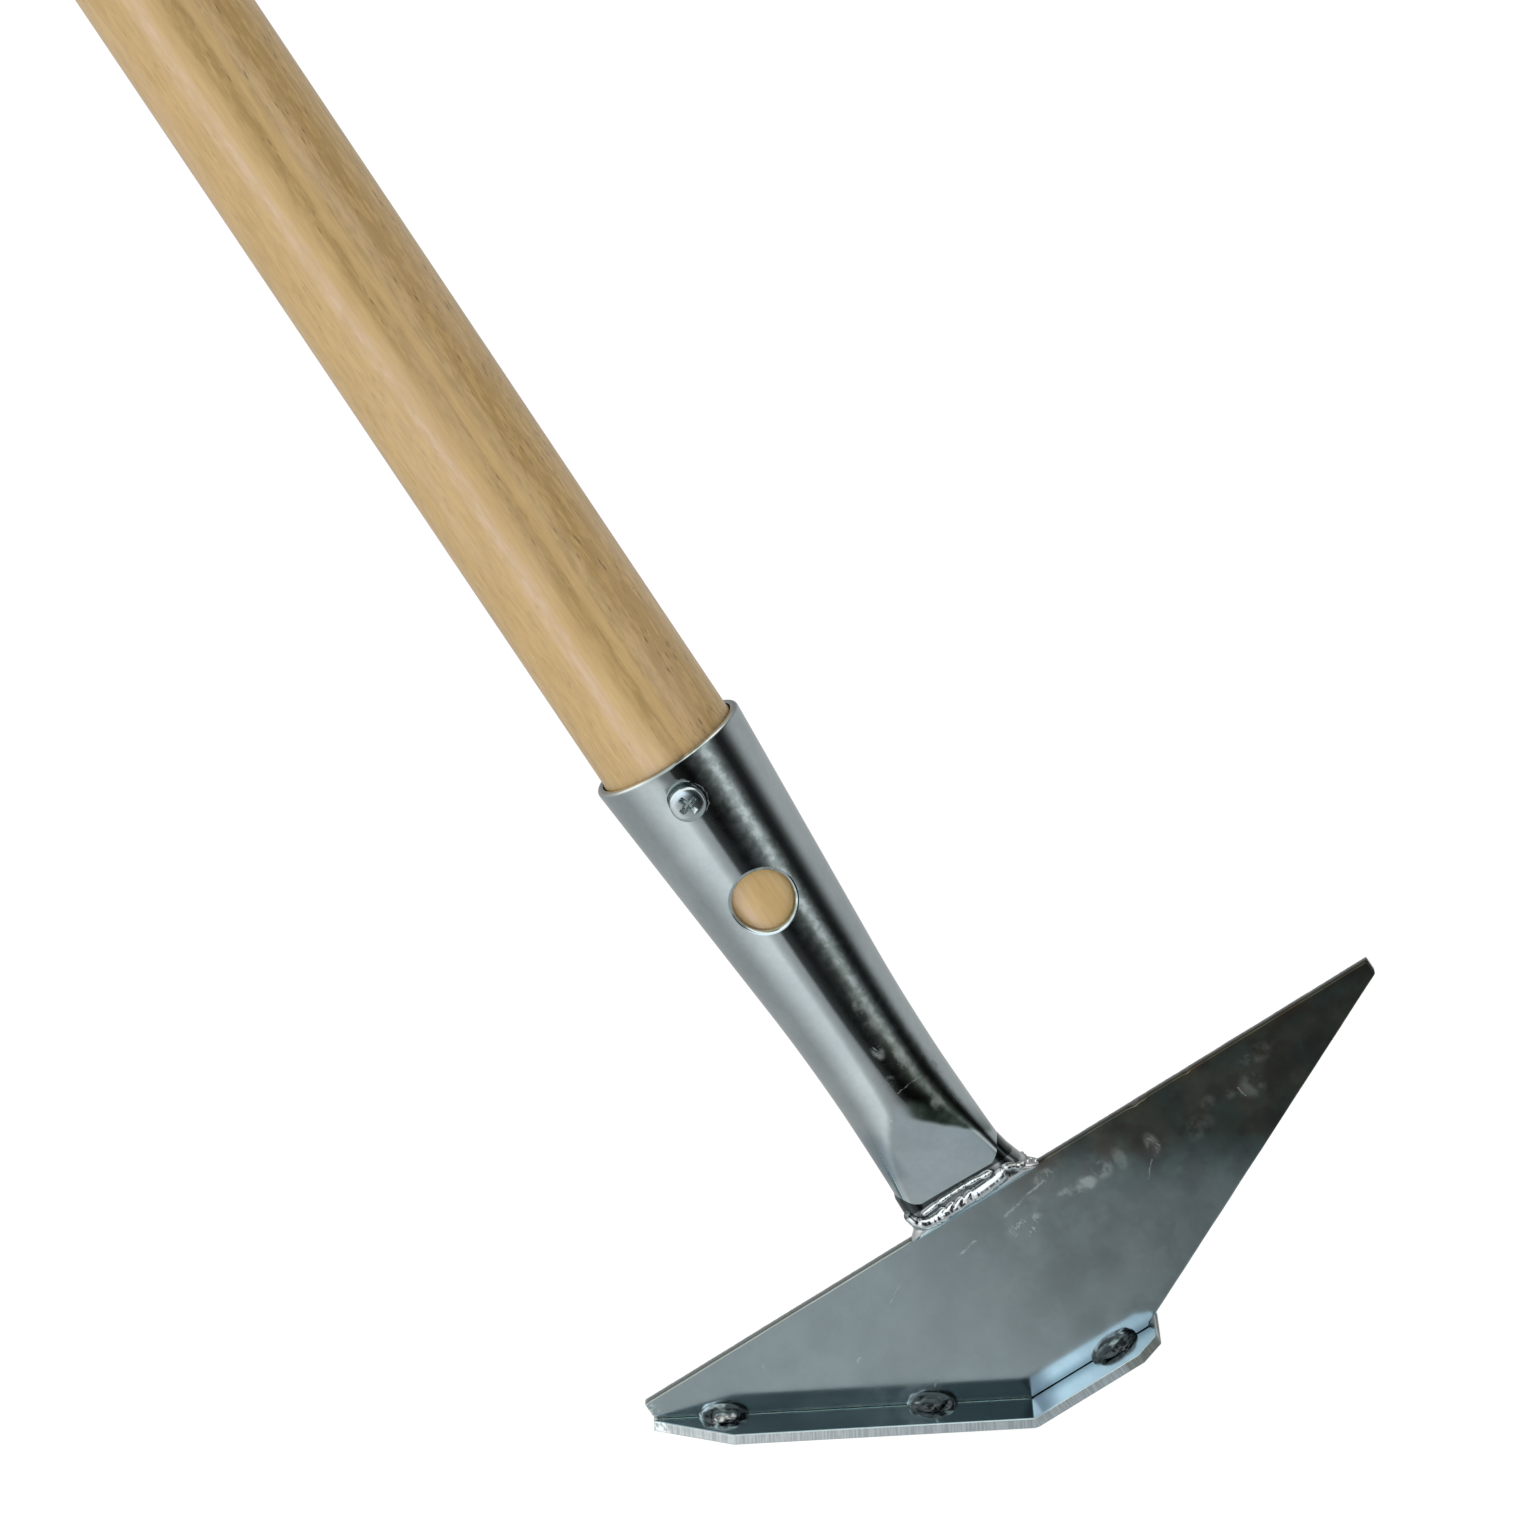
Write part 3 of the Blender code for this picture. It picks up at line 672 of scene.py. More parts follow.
class SCRAPER_OT_stage(Operator):
    """White floor, soft studio light and a camera at the photograph's angle"""

    bl_idname = "scraper.stage"
    bl_label = "Stage"

    def execute(self, context):
        s = chosen().stage
        self.make_camera(context, s)
        self.make_floor(s)
        self.make_key(s)
        self.make_world(context, s)
        context.scene.view_settings.view_transform = "Standard"
        context.scene.view_settings.look = "None"
        return {"FINISHED"}

    def make_camera(self, context, s):
        azimuth, level = s.camera_turn, math.cos(s.camera_height)
        side = Vector((math.cos(azimuth), math.sin(azimuth), 0.0))
        back = Vector((math.sin(azimuth) * level, -math.cos(azimuth) * level, math.sin(s.camera_height)))
        up = back.cross(side)
        right = math.cos(s.camera_roll) * side + math.sin(s.camera_roll) * up
        top = back.cross(right)
        lens = bpy.data.cameras.new("camera")
        lens.lens = s.lens
        lens.sensor_width = 36.0
        lens.clip_end = 200.0
        camera = place("camera", lens)
        turned = Matrix((right, top, back)).transposed().to_4x4()
        camera.matrix_world = Matrix.Translation(Vector(s.camera_aim) + back * s.camera_distance) @ turned
        context.scene.camera = camera

    def make_floor(self, s):
        reach = 80.0
        mesh = bpy.data.meshes.new("floor")
        corners = [(reach * x, reach * y, 0) for x, y in ((-1, -1), (1, -1), (1, 1), (-1, 1))]
        mesh.from_pydata(corners, [], [(0, 1, 2, 3)])
        floor = place("floor", mesh)
        floor.location.z = -0.0001
        floor.visible_glossy = False
        g = Finish("white floor")
        g.fill(g.shader, {
            "Base Color": g.ramp(g.clouds(0.8), [(0.0, 0.13), (1.0, 0.15)]), "Roughness": 0.9,
            "Specular IOR Level": 0.0, "Emission Color": WHITE, "Emission Strength": s.floor_glow,
        })
        mesh.materials.append(g.material)

    def make_key(self, s):
        key = bpy.data.lights.new("key light", "AREA")
        key.energy = s.key_power
        key.size = 1.4
        lamp = place("key light", key)
        lamp.location = (-2.0, -1.1, 1.5)
        lamp.rotation_euler = (Vector((0, 0, 0.15)) - lamp.location).to_track_quat("-Z", "Y").to_euler()
        lamp.visible_glossy = False

    def make_world(self, context, s):
        """Even light for wood and floor, and light panels all round that show only in the metal."""
        world = bpy.data.worlds.new("studio")
        context.scene.world = world
        world.use_nodes = True
        world.cycles.sampling_method = "NONE"
        world.node_tree.nodes.clear()
        g = Graph(world.node_tree)
        outward = g.add("ShaderNodeTexCoord")["Generated"]
        x, y, z = g.add("ShaderNodeSeparateXYZ", {"Vector": outward})
        bearing = g.maths("ARCTAN2", x, g.times(y, -1.0))
        around = g.remap(bearing, -math.pi, math.pi, steps="LINEAR")
        height = g.maths("ARCSINE", z)

        def panels(stops):
            return g.ramp(around, [((degrees + 180) / 360, tone) for degrees, tone in stops])

        def climb(low, high, *ends):
            return g.remap(height, math.radians(low), math.radians(high), *ends)

        level = panels([
            (-180, 0.47), (-90, 0.43), (-77, 0.53), (-65, 0.67), (-55, 0.80), (-45, 0.92), (-30, 1.00),
            (-24, 0.72), (-18, 0.54), (-12, 0.47), (-7.8, 0.43), (-5.4, 0.06), (3, 0.036), (10, 0.015),
            (16, 0.015), (22, 0.034), (28, 0.07), (34, 0.13), (41, 0.28), (48, 0.78), (54, 0.90),
            (62, 0.36), (66, 0.17), (70, 0.08), (76, 0.018), (86, 0.018), (94, 0.07), (100, 0.18),
            (106, 0.32), (112, 0.41), (120, 0.47), (180, 0.47),
        ])
        low = panels([
            (-180, 0.44), (-60, 0.50), (0, (0.47, 0.50, 0.52)), (40, (0.46, 0.49, 0.51)), (90, 0.36),
            (180, 0.44),
        ])
        high = panels([
            (-180, 0.24), (-90, 0.70), (-40, 1.2), (-12, (1.50, 1.60, 1.75)), (-3, (1.40, 1.50, 1.65)),
            (3, (0.06, 0.09, 0.10)), (14, (0.03, 0.045, 0.05)), (35, 0.10), (52, 0.65), (70, 0.20),
            (90, 0.10), (120, 0.35), (180, 0.24),
        ])
        lower = g.blend(climb(-37, -28), low, level)
        upper = g.blend(climb(-6, 9), lower, high)
        ahead = g.maths("ABSOLUTE", g.minus(around, 0.5))
        strip = g.times(climb(18, 34), climb(54, 68, 1.0, 0.12), g.remap(ahead, 0.27, 0.36, 1.0, 0.10))
        overhead = g.blend(strip, upper, (1.60, 1.57, 1.50))

        def light(tone, strength=1.0):
            return g.add("ShaderNodeBackground", {"Color": tone, "Strength": strength})[0]

        rays = g.add("ShaderNodeLightPath")
        seen = {0: rays["Is Camera Ray"], 1: light(WHITE, s.fill), 2: light(WHITE)}
        both = {0: rays["Is Glossy Ray"], 1: g.add("ShaderNodeMixShader", seen)[0], 2: light(overhead)}
        g.add("ShaderNodeOutputWorld", {"Surface": g.add("ShaderNodeMixShader", both)[0]})


class SCRAPER_OT_handle(Operator):
    """Round ash pole with a domed top, shaved to a cone inside the socket"""

    bl_idname = "scraper.handle"
    bl_label = "Handle"

    def execute(self, context):
        s = chosen().handle
        wall = chosen().socket.wall
        top, bottom = HANDLE_HIGH.z, HANDLE_LOW.z
        shoulder = top - s.top_round
        middle = (s.radius - s.top_round) / 4
        profile = [(middle * i, top) for i in (0.05, 1, 2, 3)]
        for i in range(21):
            angle = math.pi / 2 * (1 - i / 20)
            across = s.radius - s.top_round * (1 - math.cos(angle))
            profile.append((across, shoulder + s.top_round * math.sin(angle)))
        profile += [(s.radius, MOUTH + (shoulder - MOUTH) * (1 - i / 60)) for i in range(1, 60)]
        profile.append((s.radius, MOUTH + 0.0004))
        for i in range(21):
            depth = (MOUTH - bottom - s.end_chamfer) * i / 20
            profile.append((socket_half_sizes(depth)[1] - wall - GAP, MOUTH - depth))
        end_radius = profile[-1][0] - s.end_chamfer
        profile += [(end_radius, bottom), (end_radius / 2, bottom), (0.0002, bottom)]
        rings = [circle(radius, height, ROUND_SIDES) for radius, height in profile]
        handle = place("ash_handle", smooth(loft("ash_handle", rings)))
        finish_piece(handle, ash_wood(), "ash_wood", "handle")
        return {"FINISHED"}


class SCRAPER_OT_socket(Operator):
    """Tapered socket with a rolled mouth, a pressed end, a punched hole and a seat for the screw"""

    bl_idname = "scraper.socket"
    bl_label = "Socket"

    def execute(self, context):
        s = chosen().socket
        depths = [LIP_ROUND + 0.0005 * i for i in range(33)]
        depths += [depths[-1] + 0.002 * i for i in range(1, 20)]
        left = MOUTH - SOCKET_END - depths[-1]
        depths += [depths[-1] + left * i / 56 for i in range(1, 57)]
        outer = [socket_ring(MOUTH - depth) for depth in depths]
        angles = [math.pi / 2 * i / 8 for i in range(1, 8)]
        lip = [(LIP_ROUND * (1 - math.cos(a)), LIP_ROUND * (1 - math.sin(a))) for a in angles]
        lip += [(LIP_ROUND, 0.0), (s.wall - GAP, 0.0), (s.wall - 0.00009, 0.00009)]
        lip = [socket_ring(MOUTH - down, -inset) for inset, down in lip]
        inner = [socket_ring(MOUTH - depth, -s.wall) for depth in depths]
        socket = place("pressed_socket", loft("pressed_socket", outer[::-1] + lip + inner, joined=True))
        axis = front_axis(s.screw_turn, s.screw_depth)
        clearance = chosen().screw.shank_diameter / 2 + GAP
        seat = socket_half_sizes(s.screw_depth)[1] - s.dimple_depth
        flare = [(0.0036, 0.0), (0.00375, 0.0001), (0.0043, 0.0004), (0.0062, 0.0012)]
        dimple = [circle(radius, seat + rise, DIMPLE_SIDES) for radius, rise in flare]
        hole = [circle(clearance, height, SHANK_SIDES) for height in (GAP, s.mouth_diameter)]
        carve(socket, [
            self.hole_cutter(s),
            lofted_cutter("dimple", dimple, axis),
            lofted_cutter("screw hole", hole, axis),
        ])
        smooth(socket.data, 30)
        zinc = chosen().zinc
        facet = [(3.3, 61.9, -0.726, -0.688, 0.6), (8.7, 56.1, -0.807, -0.590, 0.5)]
        # Painted shade and light where reflections fall, in order: a dark band right of the middle, mottling
        # in the reflected streak, two darkenings of the lobe above the pressed face, a darker left corner, a
        # darker patch by the mouth, and a warm reflection on the mouth's lip.
        painted_light_and_shade = [
            (zone([(3.0, 112, 1, 0, 1.6), (6.3, 112, -1, 0, 1.3), (0, 108, 0, -1, 30)], facet),
             (0.49, 0.49, 0.45)),
            (zone([(2.2, 120, 1, 0, 1), (9.5, 120, -1, 0, 1)], facet, 0.004, 0.9), (0.62, 0.66, 0.62)),
            (zone([(1.2, 66, 1, 0, 1), (8.3, 63, -0.93, -0.37, 1.6), (0, 69, 0, -1, 4)], facet, 0.0012),
             (0.36, 0.40, 0.37)),
            (zone([(0.6, 76, 1, 0, 1.5), (8.8, 76, -1, 0, 1), (0, 76, 0, -1, 7)], facet),
             (0.50, 0.50, 0.46)),
            (zone([(-6.4, 58, -1, 0, 1), (0, 66, 0, -1, 3), (0, 54.5, 0, 1, 1.5)]), (0.72, 0.77, 0.81)),
            (zone([(1.5, 139, 0.8, 0.5, 3), (4.6, 143, -1, 0, 1)], (), 0.006), (0.45, 0.45, 0.43)),
            (zone([(0, 150.2, 0, 1, 0.1)]), (1.25, 1.10, 0.98)),
        ]
        # The last four strokes paint a highlight in an arc round the right side of the screw's dimple.
        marks = [
            (1.4, 70.6, 4.0, 71.1, 0.35), (4.0, 71.1, 6.9, 70.6, 0.45), (4.4, 75.6, 6.6, 77.2, 0.4),
            (4.8, 78.2, 5.6, 74.0, 0.35), (6.0, 65.6, 6.9, 63.6, 0.7), (6.3, 64.6, 7.4, 63.8, 0.6),
            (-3.2, 67.2, -2.6, 66.6, 0.8), (2.4, 81.2, 3.2, 79.0, 0.4),
            (2.8, 144.9, 3.6, 143.4, 0.3), (3.6, 143.4, 3.7, 141.7, 0.4), (3.7, 141.7, 3.0, 140.1, 0.4),
            (3.0, 140.1, 1.7, 139.0, 0.3),
        ]
        patches = [
            (2.8, 80.0, 1.5, 2.4, 0.8), (5.8, 76.8, 1.4, 2.6, 0.8), (5.4, 74.0, 1.4, 1.8, 0.7),
            (1.6, 73.6, 1.2, 1.5, 0.6), (6.3, 64.8, 1.6, 2.2, 0.9), (4.6, 88.0, 1.8, 7.0, 0.5),
        ]
        plating = zinc_plating(
            "zinc plated socket", zinc.bright, zinc.dull, 0.11, 650.0, 0.5, painted_light_and_shade, marks, patches
        )
        finish_piece(socket, plating, "zinc_socket", "socket")
        return {"FINISHED"}

    def hole_cutter(self, s):
        """Cutter for the punched hole, which rounds the hole's outer edge as it meets the curved face."""
        radius = s.hole_diameter / 2
        rings = [circle(radius, GAP, ROUND_SIDES)]
        for i in range(7):
            angle = math.pi / 2 * i / 7
            ring = circle(radius + HOLE_ROUND * (1 - math.cos(angle)), 0.0, ROUND_SIDES)
            for point in ring:
                cone = socket_half_sizes(s.hole_depth - point.y)[1]
                point.z = math.sqrt(cone**2 - point.x**2) - HOLE_ROUND * (1 - math.sin(angle))
            rings.append(ring)
        rings.append(circle(radius + HOLE_ROUND * 1.1, s.mouth_diameter, ROUND_SIDES))
        return lofted_cutter("punched hole", rings, front_axis(s.hole_turn, s.hole_depth))


class SCRAPER_OT_screw(Operator):
    """Pan head wood screw with a cross recess"""

    bl_idname = "scraper.screw"
    bl_label = "Screw"

    def execute(self, context):
        s = chosen().screw
        socket = chosen().socket
        seat = socket_half_sizes(socket.screw_depth)[1] - socket.dimple_depth + GAP
        axis = front_axis(socket.screw_turn, socket.screw_depth) @ Matrix.Translation((0, 0, seat))
        head, shank = s.head_diameter / 2, s.shank_diameter / 2
        edge = s.head_height * 0.34
        profile = [(head * 0.03, s.head_height)]
        for i in range(1, 19):
            angle = math.pi / 2 * i / 18
            profile.append((head * math.sin(angle), edge + (s.head_height - edge) * math.cos(angle) ** 0.45))
        profile += [(head, GAP), (head - GAP, 0.0), (shank, 0.0), (shank, 0.004 - s.length)]
        profile.append((0.0001, -s.length))
        mesh = loft("pan_head_screw", [circle(radius, height, SCREW_SIDES) for radius, height in profile])
        mesh.transform(axis)
        screw = place("pan_head_screw", mesh)
        corners = ((-1, -1), (1, -1), (1, 1), (-1, 1))
        levels = [(0.0024, 0.0009, 0.0003), (0.0017, 0.0004, -0.0004), (0.0010, 0.0002, -0.0011)]
        rings = [[Vector((long * x, wide * y, z)) for x, y in corners] for long, wide, z in levels]
        cutters = []
        for number in (1, 2):
            turned = Matrix.Rotation(s.slot_turn + number * math.pi / 2, 4, "Z")
            slot_axis = axis @ Matrix.Translation((0, 0, s.head_height)) @ turned
            cutters.append(lofted_cutter(f"slot {number}", rings, slot_axis))
        carve(screw, cutters)
        smooth(screw.data, 35)
        zinc = chosen().zinc
        plating = zinc_plating("zinc plated screw", zinc.bright, dimmed(zinc.dull, 0.8), 0.17, 900.0)
        finish_piece(screw, plating, "zinc_screw", "handle_screw")
        return {"FINISHED"}


class SCRAPER_OT_blade(Operator):
    """Scraper blade with sheared edges, blunt tips and handling marks"""

    bl_idname = "scraper.blade"
    bl_label = "Blade"

    def execute(self, context):
        s = chosen().blade
        corners = blade_corners()
        outline = []
        for number, ((x1, z1), (x2, z2)) in enumerate(zip(corners, corners[1:] + corners[:1])):
            run = Vector((x2 - x1, 0.0, z2 - z1))
            steps = max(4, round(run.length / STEP))
            into = Vector((run.z, 0.0, -run.x)).normalized()
            corner = Vector((x1, 0.0, z1))
            reach, rounding = (into * -BLADE_REACH, 0.25) if number in (3, 4) else (Vector(), 1.0)
            outline += [(corner + run * i / steps + reach, into, rounding) for i in range(steps)]
        for (_, before, _), (point, into, _) in zip(outline[-1:] + outline[:-1], outline):
            if before.angle(into) > 0.1:
                point += (before + into).normalized() * TIP_WEAR
        half = BLADE_HIGH.y
        r = s.edge_round
        levels = [(r, -half), (r * 0.3, -half + r * 0.3), (0.0, -half + r)]
        levels += [(0.0, y * half) for y in (-0.45, -0.1, 0.25, 0.55)]
        levels += [(0.0, half - r), (r * 0.3, half - r * 0.3), (r, half)]
        rings = []
        for inset, y in levels:
            rings.append([
                point + into * (inset * rounding + self.wear(point, y, s)) + Vector((0.0, y, 0.0))
                for point, into, rounding in outline
            ])
        blade = place("scraper_blade", smooth(loft("scraper_blade", rings), 60))
        count = len(outline)
        walls = range(2, len(levels) - 2)
        sheared = [0.5 * (level in walls) for level in range(len(levels)) for _ in range(count)]
        mark_points(blade.data, "sheared", sheared)
        mark_points(blade.data, "run", [STEP * i for i in range(count)] * len(levels))
        marks = [
            (-7.4, 34.4, -3.6, 35.0, 0.9), (4.0, 36.1, 9.0, 37.3, 0.8), (9.0, 37.3, 14.2, 38.1, 0.7),
            (31.5, 27.5, 34.0, 30.5, 0.4), (35.6, 34.6, 36.3, 33.0, 0.6), (36.3, 33.0, 36.9, 31.8, 0.5),
            (55.8, 33.6, 56.2, 31.4, 0.6), (-36.0, 26.5, -35.2, 27.0, 0.7), (-52.2, 35.6, -51.6, 36.0, 0.7),
            (-26.0, 14.2, -24.6, 15.6, 0.5), (-56.4, 36.4, -55.9, 36.8, 0.6),
            (-24.0, 33.4, -20.5, 35.4, 0.25),
        ]
        patches = [
            (17.0, 33.6, 3.6, 1.8, 0.8), (20.5, 33.2, 3.6, 2.2, 0.9), (25.0, 34.2, 3.0, 3.0, 0.7),
            (29.0, 34.0, 1.8, 3.2, 0.5), (35.8, 32.8, 1.8, 3.6, 0.6), (49.5, 34.0, 2.2, 2.2, 0.3),
            (53.5, 33.5, 2.0, 1.6, 0.3), (58.4, 32.6, 3.6, 3.4, 0.4), (45.0, 31.0, 5.0, 3.0, 0.3),
            (6.4, 32.2, 5.0, 3.2, 1.0), (10.0, 35.4, 4.0, 2.4, 0.4), (15.0, 38.8, 3.4, 1.8, 0.8),
            (62.0, 37.5, 6.0, 2.5, 0.3), (-20.0, 22.0, 30.0, 12.0, 0.16), (20.0, 16.0, 20.0, 10.0, 0.2),
        ]
        # Painted shade and light where reflections fall: the dark right part, a broad darkening to the
        # right, a darker top edge, shade just above the bend and just above the short leg, a light line
        # along the lower left edge, and a darker top edge under the bead. The others are a browner top right
        # edge, mottled clouds over the right part, and whiter specks at the left tip.
        painted_light_and_shade = [
            (zone([(16.0, 40.0, 0.53, 0.85, 8)], (), 0.004), (0.25, 0.235, 0.21)),
            (zone([(2.0, 40.0, 1.0, 0.35, 38)]), (0.62, 0.64, 0.64)),
            (zone([(0.0, 41.55, 0.0, 1.0, 0.15)], (), 0.0002), (0.42, 0.39, 0.35)),
            (zone([(-11.3, 3, 1, 0, 0.5), (-7.5, 3, -1, 0, 2.5), (0, 6.3, 0, -1, 0.8)]), (0.50, 0.52, 0.55)),
            (zone([(-8, 3, 1, 0, 1), (0, 3.4, 0, -1, 0.8)]), (0.66, 0.70, 0.72)),
            (zone([(20.0, 41.0, 0.0, 1.0, 1.5), (30.0, 40.0, 1.0, 0.0, 20)], (), 0.003), (1.15, 0.95, 0.80)),
            (zone([(14.0, 40.0, 0.53, 0.85, 6)], (), 0.0, 1.0, 190.0), (1.22, 1.38, 1.36)),
            (zone([(20.0, 36.0, 0.3, 0.95, 5)], (), 0.0, 1.0, 150.0), (1.30, 1.10, 1.00)),
            (zone([(-11.3, 2.65, -0.494, -0.869, 0.1), (-11.6, 0, -1, 0, 0.3)]), (1.7, 1.8, 1.8)),
            (zone([(-5.0, 40.0, 1.0, 0.2, 12)], (), 0.0, 0.7, 130.0), (0.78, 0.78, 0.79)),
            (zone([(0, 41.5, 0, 1, 0.1), (-14, 0, 1, 0, 1), (17, 0, -1, 0, 1)]), (0.35, 0.30, 0.27)),
            (zone([(-74.3, 36, -1, 0, 1.2)], (), 0.0, 1.0, 1100.0), (2.1, 2.1, 2.15)),
        ]
        plating = zinc_plating(
            "zinc plated blade", (0.56, 0.685, 0.715), (0.52, 0.635, 0.665), 0.13, 300.0, 0.25,
            painted_light_and_shade, marks, patches,
        )
        finish_piece(blade, plating, "zinc_blade", "blade")
        return {"FINISHED"}

    def wear(self, point, y, s):
        """Unevenness of the sheared edge: a smooth front part with nicks, and a torn back part."""
        torn = 0.35 + 0.65 * (y > 0)
        rough = unevenness(point.x * 1400, y * 500, point.z * 1400)
        slow = unevenness(point.x * 160, 3.0, point.z * 160)
        wear = s.edge_wear * (torn * rough * 0.7 + slow * 0.6)
        if point.z > BLADE_TOP - 0.001 and y < 0.0002:
            for x, width, depth in NICKS:
                wear += 0.001 * depth * hump(point.x, x, width)
        return wear


class SCRAPER_OT_sole(Operator):
    """Strip folded under the blade, pointed at one end and with cut corners at the other"""

    bl_idname = "scraper.sole"
    bl_label = "Sole strip"

    def execute(self, context):
        s = chosen().sole
        corners = blade_corners()
        end = sole_long_leg() + corners[3][0] - corners[4][0] + s.end_overhang
        bend = sole_long_leg()
        stations = {0.0, 0.00015, 0.0004, end - 0.0004, end - 0.00015, end}
        stations |= {round(0.0003 * i, 6) for i in range(2, int((end - 0.0003) / 0.0003))}
        stations |= {bend + s.bend_radius * math.tan(0.258) * i / 6 for i in range(-6, 7)}
        rings = []
        for along in sorted(stations):
            cut_end = min(1.0, max(0.0, (along - end + s.end_cut_length) / s.end_cut_length))
            nose = max(0.0, 1 - along / s.nose_length)
            half = s.width / 2 - nose * (s.width - s.nose_width) / 2 - cut_end * s.end_cut_width
            worn = END_WEAR if along in (0.0, end) else 0.0
            rings.append([sole_point(along, *pair) for pair in self.section(along, half - worn, worn, s)])
        sole = place("sole_strip_zinc", smooth(loft("sole_strip_zinc", rings), 50))
        walls = [*range(8, 15), *range(25, 32)]
        section = [float(i in walls) for i in range(len(rings[0]))]
        mark_points(sole.data, "sheared", section * len(rings))
        mark_points(sole.data, "run", [along for along in sorted(stations) for _ in section])
        # Painted shade at the start of the short leg and beside the blade, and a painted light line where
        # the long leg meets the blade. The others are whiter specks at the nose, a front wall that darkens
        # towards the right end, and a darker olive patch on that wall at the right end.
        painted_light_and_shade = [
            (zone([(-11.3, 1, 1, 0, 0.3), (-7.5, 1, -1, 0, 2.5), (0, 1.9, 0, 1, 0.05)]), (0.50, 0.52, 0.55)),
            (self.corner, (0.62, 0.66, 0.68)),
            (zone([(-74.0, 36, -1, 0, 1.2)], (), 0.0, 1.0, 1100.0), (2.6, 2.6, 2.6)),
            (self.joint, (2.6, 2.7, 2.7)),
            (self.wall(-0.070, 0.0), (0.64, 0.68, 0.70)),
            (self.wall(0.0085, 0.0100), (0.60, 0.59, 0.52)),
        ]
        plating = zinc_plating(
            "zinc plated sole", (0.57, 0.68, 0.72), (0.53, 0.63, 0.665), 0.12, 300.0, 0.15, painted_light_and_shade
        )
        finish_piece(sole, plating, "zinc_sole", "sole_strip")
        return {"FINISHED"}

    def corner(self, g):
        """Mask of the strip beside the blade, for painted shade."""
        return g.remap(g.y, -0.0055, -0.0020)

    def joint(self, g):
        """Mask of the line where the long leg meets the blade, for a painted light line."""
        near = g.times(g.remap(g.y, -0.0023, -0.0020), g.maths("LESS_THAN", g.y, 0.0))
        return g.times(near, g.maths("LESS_THAN", g.x, -0.0115))

    def wall(self, start, full):
        """A mask function for the sheared wall, which grows from one X to another."""
        return lambda g: g.times(g.mark("sheared"), g.remap(g.x, start, full))

    def section(self, along, half, worn, s):
        """Section of the strip as (across, lift) points: top, front edge, underside and back edge."""
        t = s.thickness
        r = 0.00018
        inner = [half - 0.0006, half * 0.6, half * 0.2, -half * 0.2, -half * 0.6, 0.0006 - half]
        corner = [(0.0, r), (r * 0.3, r * 0.3), (r, 0.0)]

        def edge(side):
            points = [(side * (half - inset), -down) for down, inset in corner]
            for level in (0.22, 0.34, 0.48, 0.62, 0.78):
                points.append((side * (half - self.shear(along, level, side, s)), -t * level))
            return points + [(side * (half - inset), down - t) for down, inset in reversed(corner)]

        top = [(across, 0.0) for across in inner]
        under = [(across, -t) for across in reversed(inner)]
        section = top + edge(-1) + under + edge(1)[::-1]
        return [(across, min(-worn, max(lift, worn - t))) for across, lift in section]

    def shear(self, along, level, side, s):
        """Depth of the shear marks: upright lines that deepen towards the torn lower part."""
        lines = unevenness(along * 1700, side * 5.0, level * 1.3)
        torn = unevenness(along * 900, side * 9.0, level * 9.0)
        deeper = 0.4 + 0.6 * min(1.0, max(0.0, (level - 0.3) / 0.3))
        return s.edge_wear * (0.9 * lines * deeper + 0.5 * torn * deeper)


def weld_run_tree():
    """Node tree that lays overlapping drops of weld metal along the edges of a mesh."""
    tree = bpy.data.node_groups.new("weld run", "GeometryNodeTree")
    for name, kind in (
        ("Geometry", "Geometry"), ("Spacing", "Float"), ("Drop size", "Vector"), ("Variation", "Float"),
        ("Lean", "Float"), ("Seed", "Int"), ("Metal", "Material"),
    ):
        tree.interface.new_socket(name, in_out="INPUT", socket_type=f"NodeSocket{kind}")
    tree.interface.new_socket("Geometry", in_out="OUTPUT", socket_type="NodeSocketGeometry")
    g = Graph(tree)
    entry = g.add("NodeGroupInput")
    path = g.add("GeometryNodeMeshToCurve", {"Mesh": entry["Geometry"]})[0]
    spacing = {"Curve": path, "Length": entry["Spacing"]}
    spaced = g.add("GeometryNodeResampleCurve", spacing, mode="LENGTH")[0]
    tangent = {"Vector": g.add("GeometryNodeInputTangent")[0]}
    along = g.add("FunctionNodeAlignRotationToVector", tangent, axis="X", pivot_axis="Z")[0]
    lean = {"Rotation": along, "Rotate By": g.add("ShaderNodeCombineXYZ", {"Y": entry["Lean"]})[0]}
    turned = g.add("FunctionNodeRotateRotation", lean, rotation_space="LOCAL")[0]
    fewest = g.minus(1.0, entry["Variation"])
    most = g.maths("ADD", 1.0, entry["Variation"])
    spread = {2: fewest, 3: most, "Seed": entry["Seed"]}
    chance = g.add("FunctionNodeRandomValue", spread, data_type="FLOAT")[1]
    scale = g.scaled(entry["Drop size"], chance)
    drop = g.add("GeometryNodeMeshIcoSphere", {"Radius": 1.0, "Subdivisions": 3})["Mesh"]
    laid = {"Points": spaced, "Instance": drop, "Rotation": turned, "Scale": scale}
    drops = g.add("GeometryNodeInstanceOnPoints", laid)[0]
    solid = g.add("GeometryNodeRealizeInstances", {"Geometry": drops})[0]
    done = g.add("GeometryNodeSetMaterial", {"Geometry": solid, "Material": entry["Metal"]})[0]
    g.add("NodeGroupOutput", {"Geometry": done})
    return tree


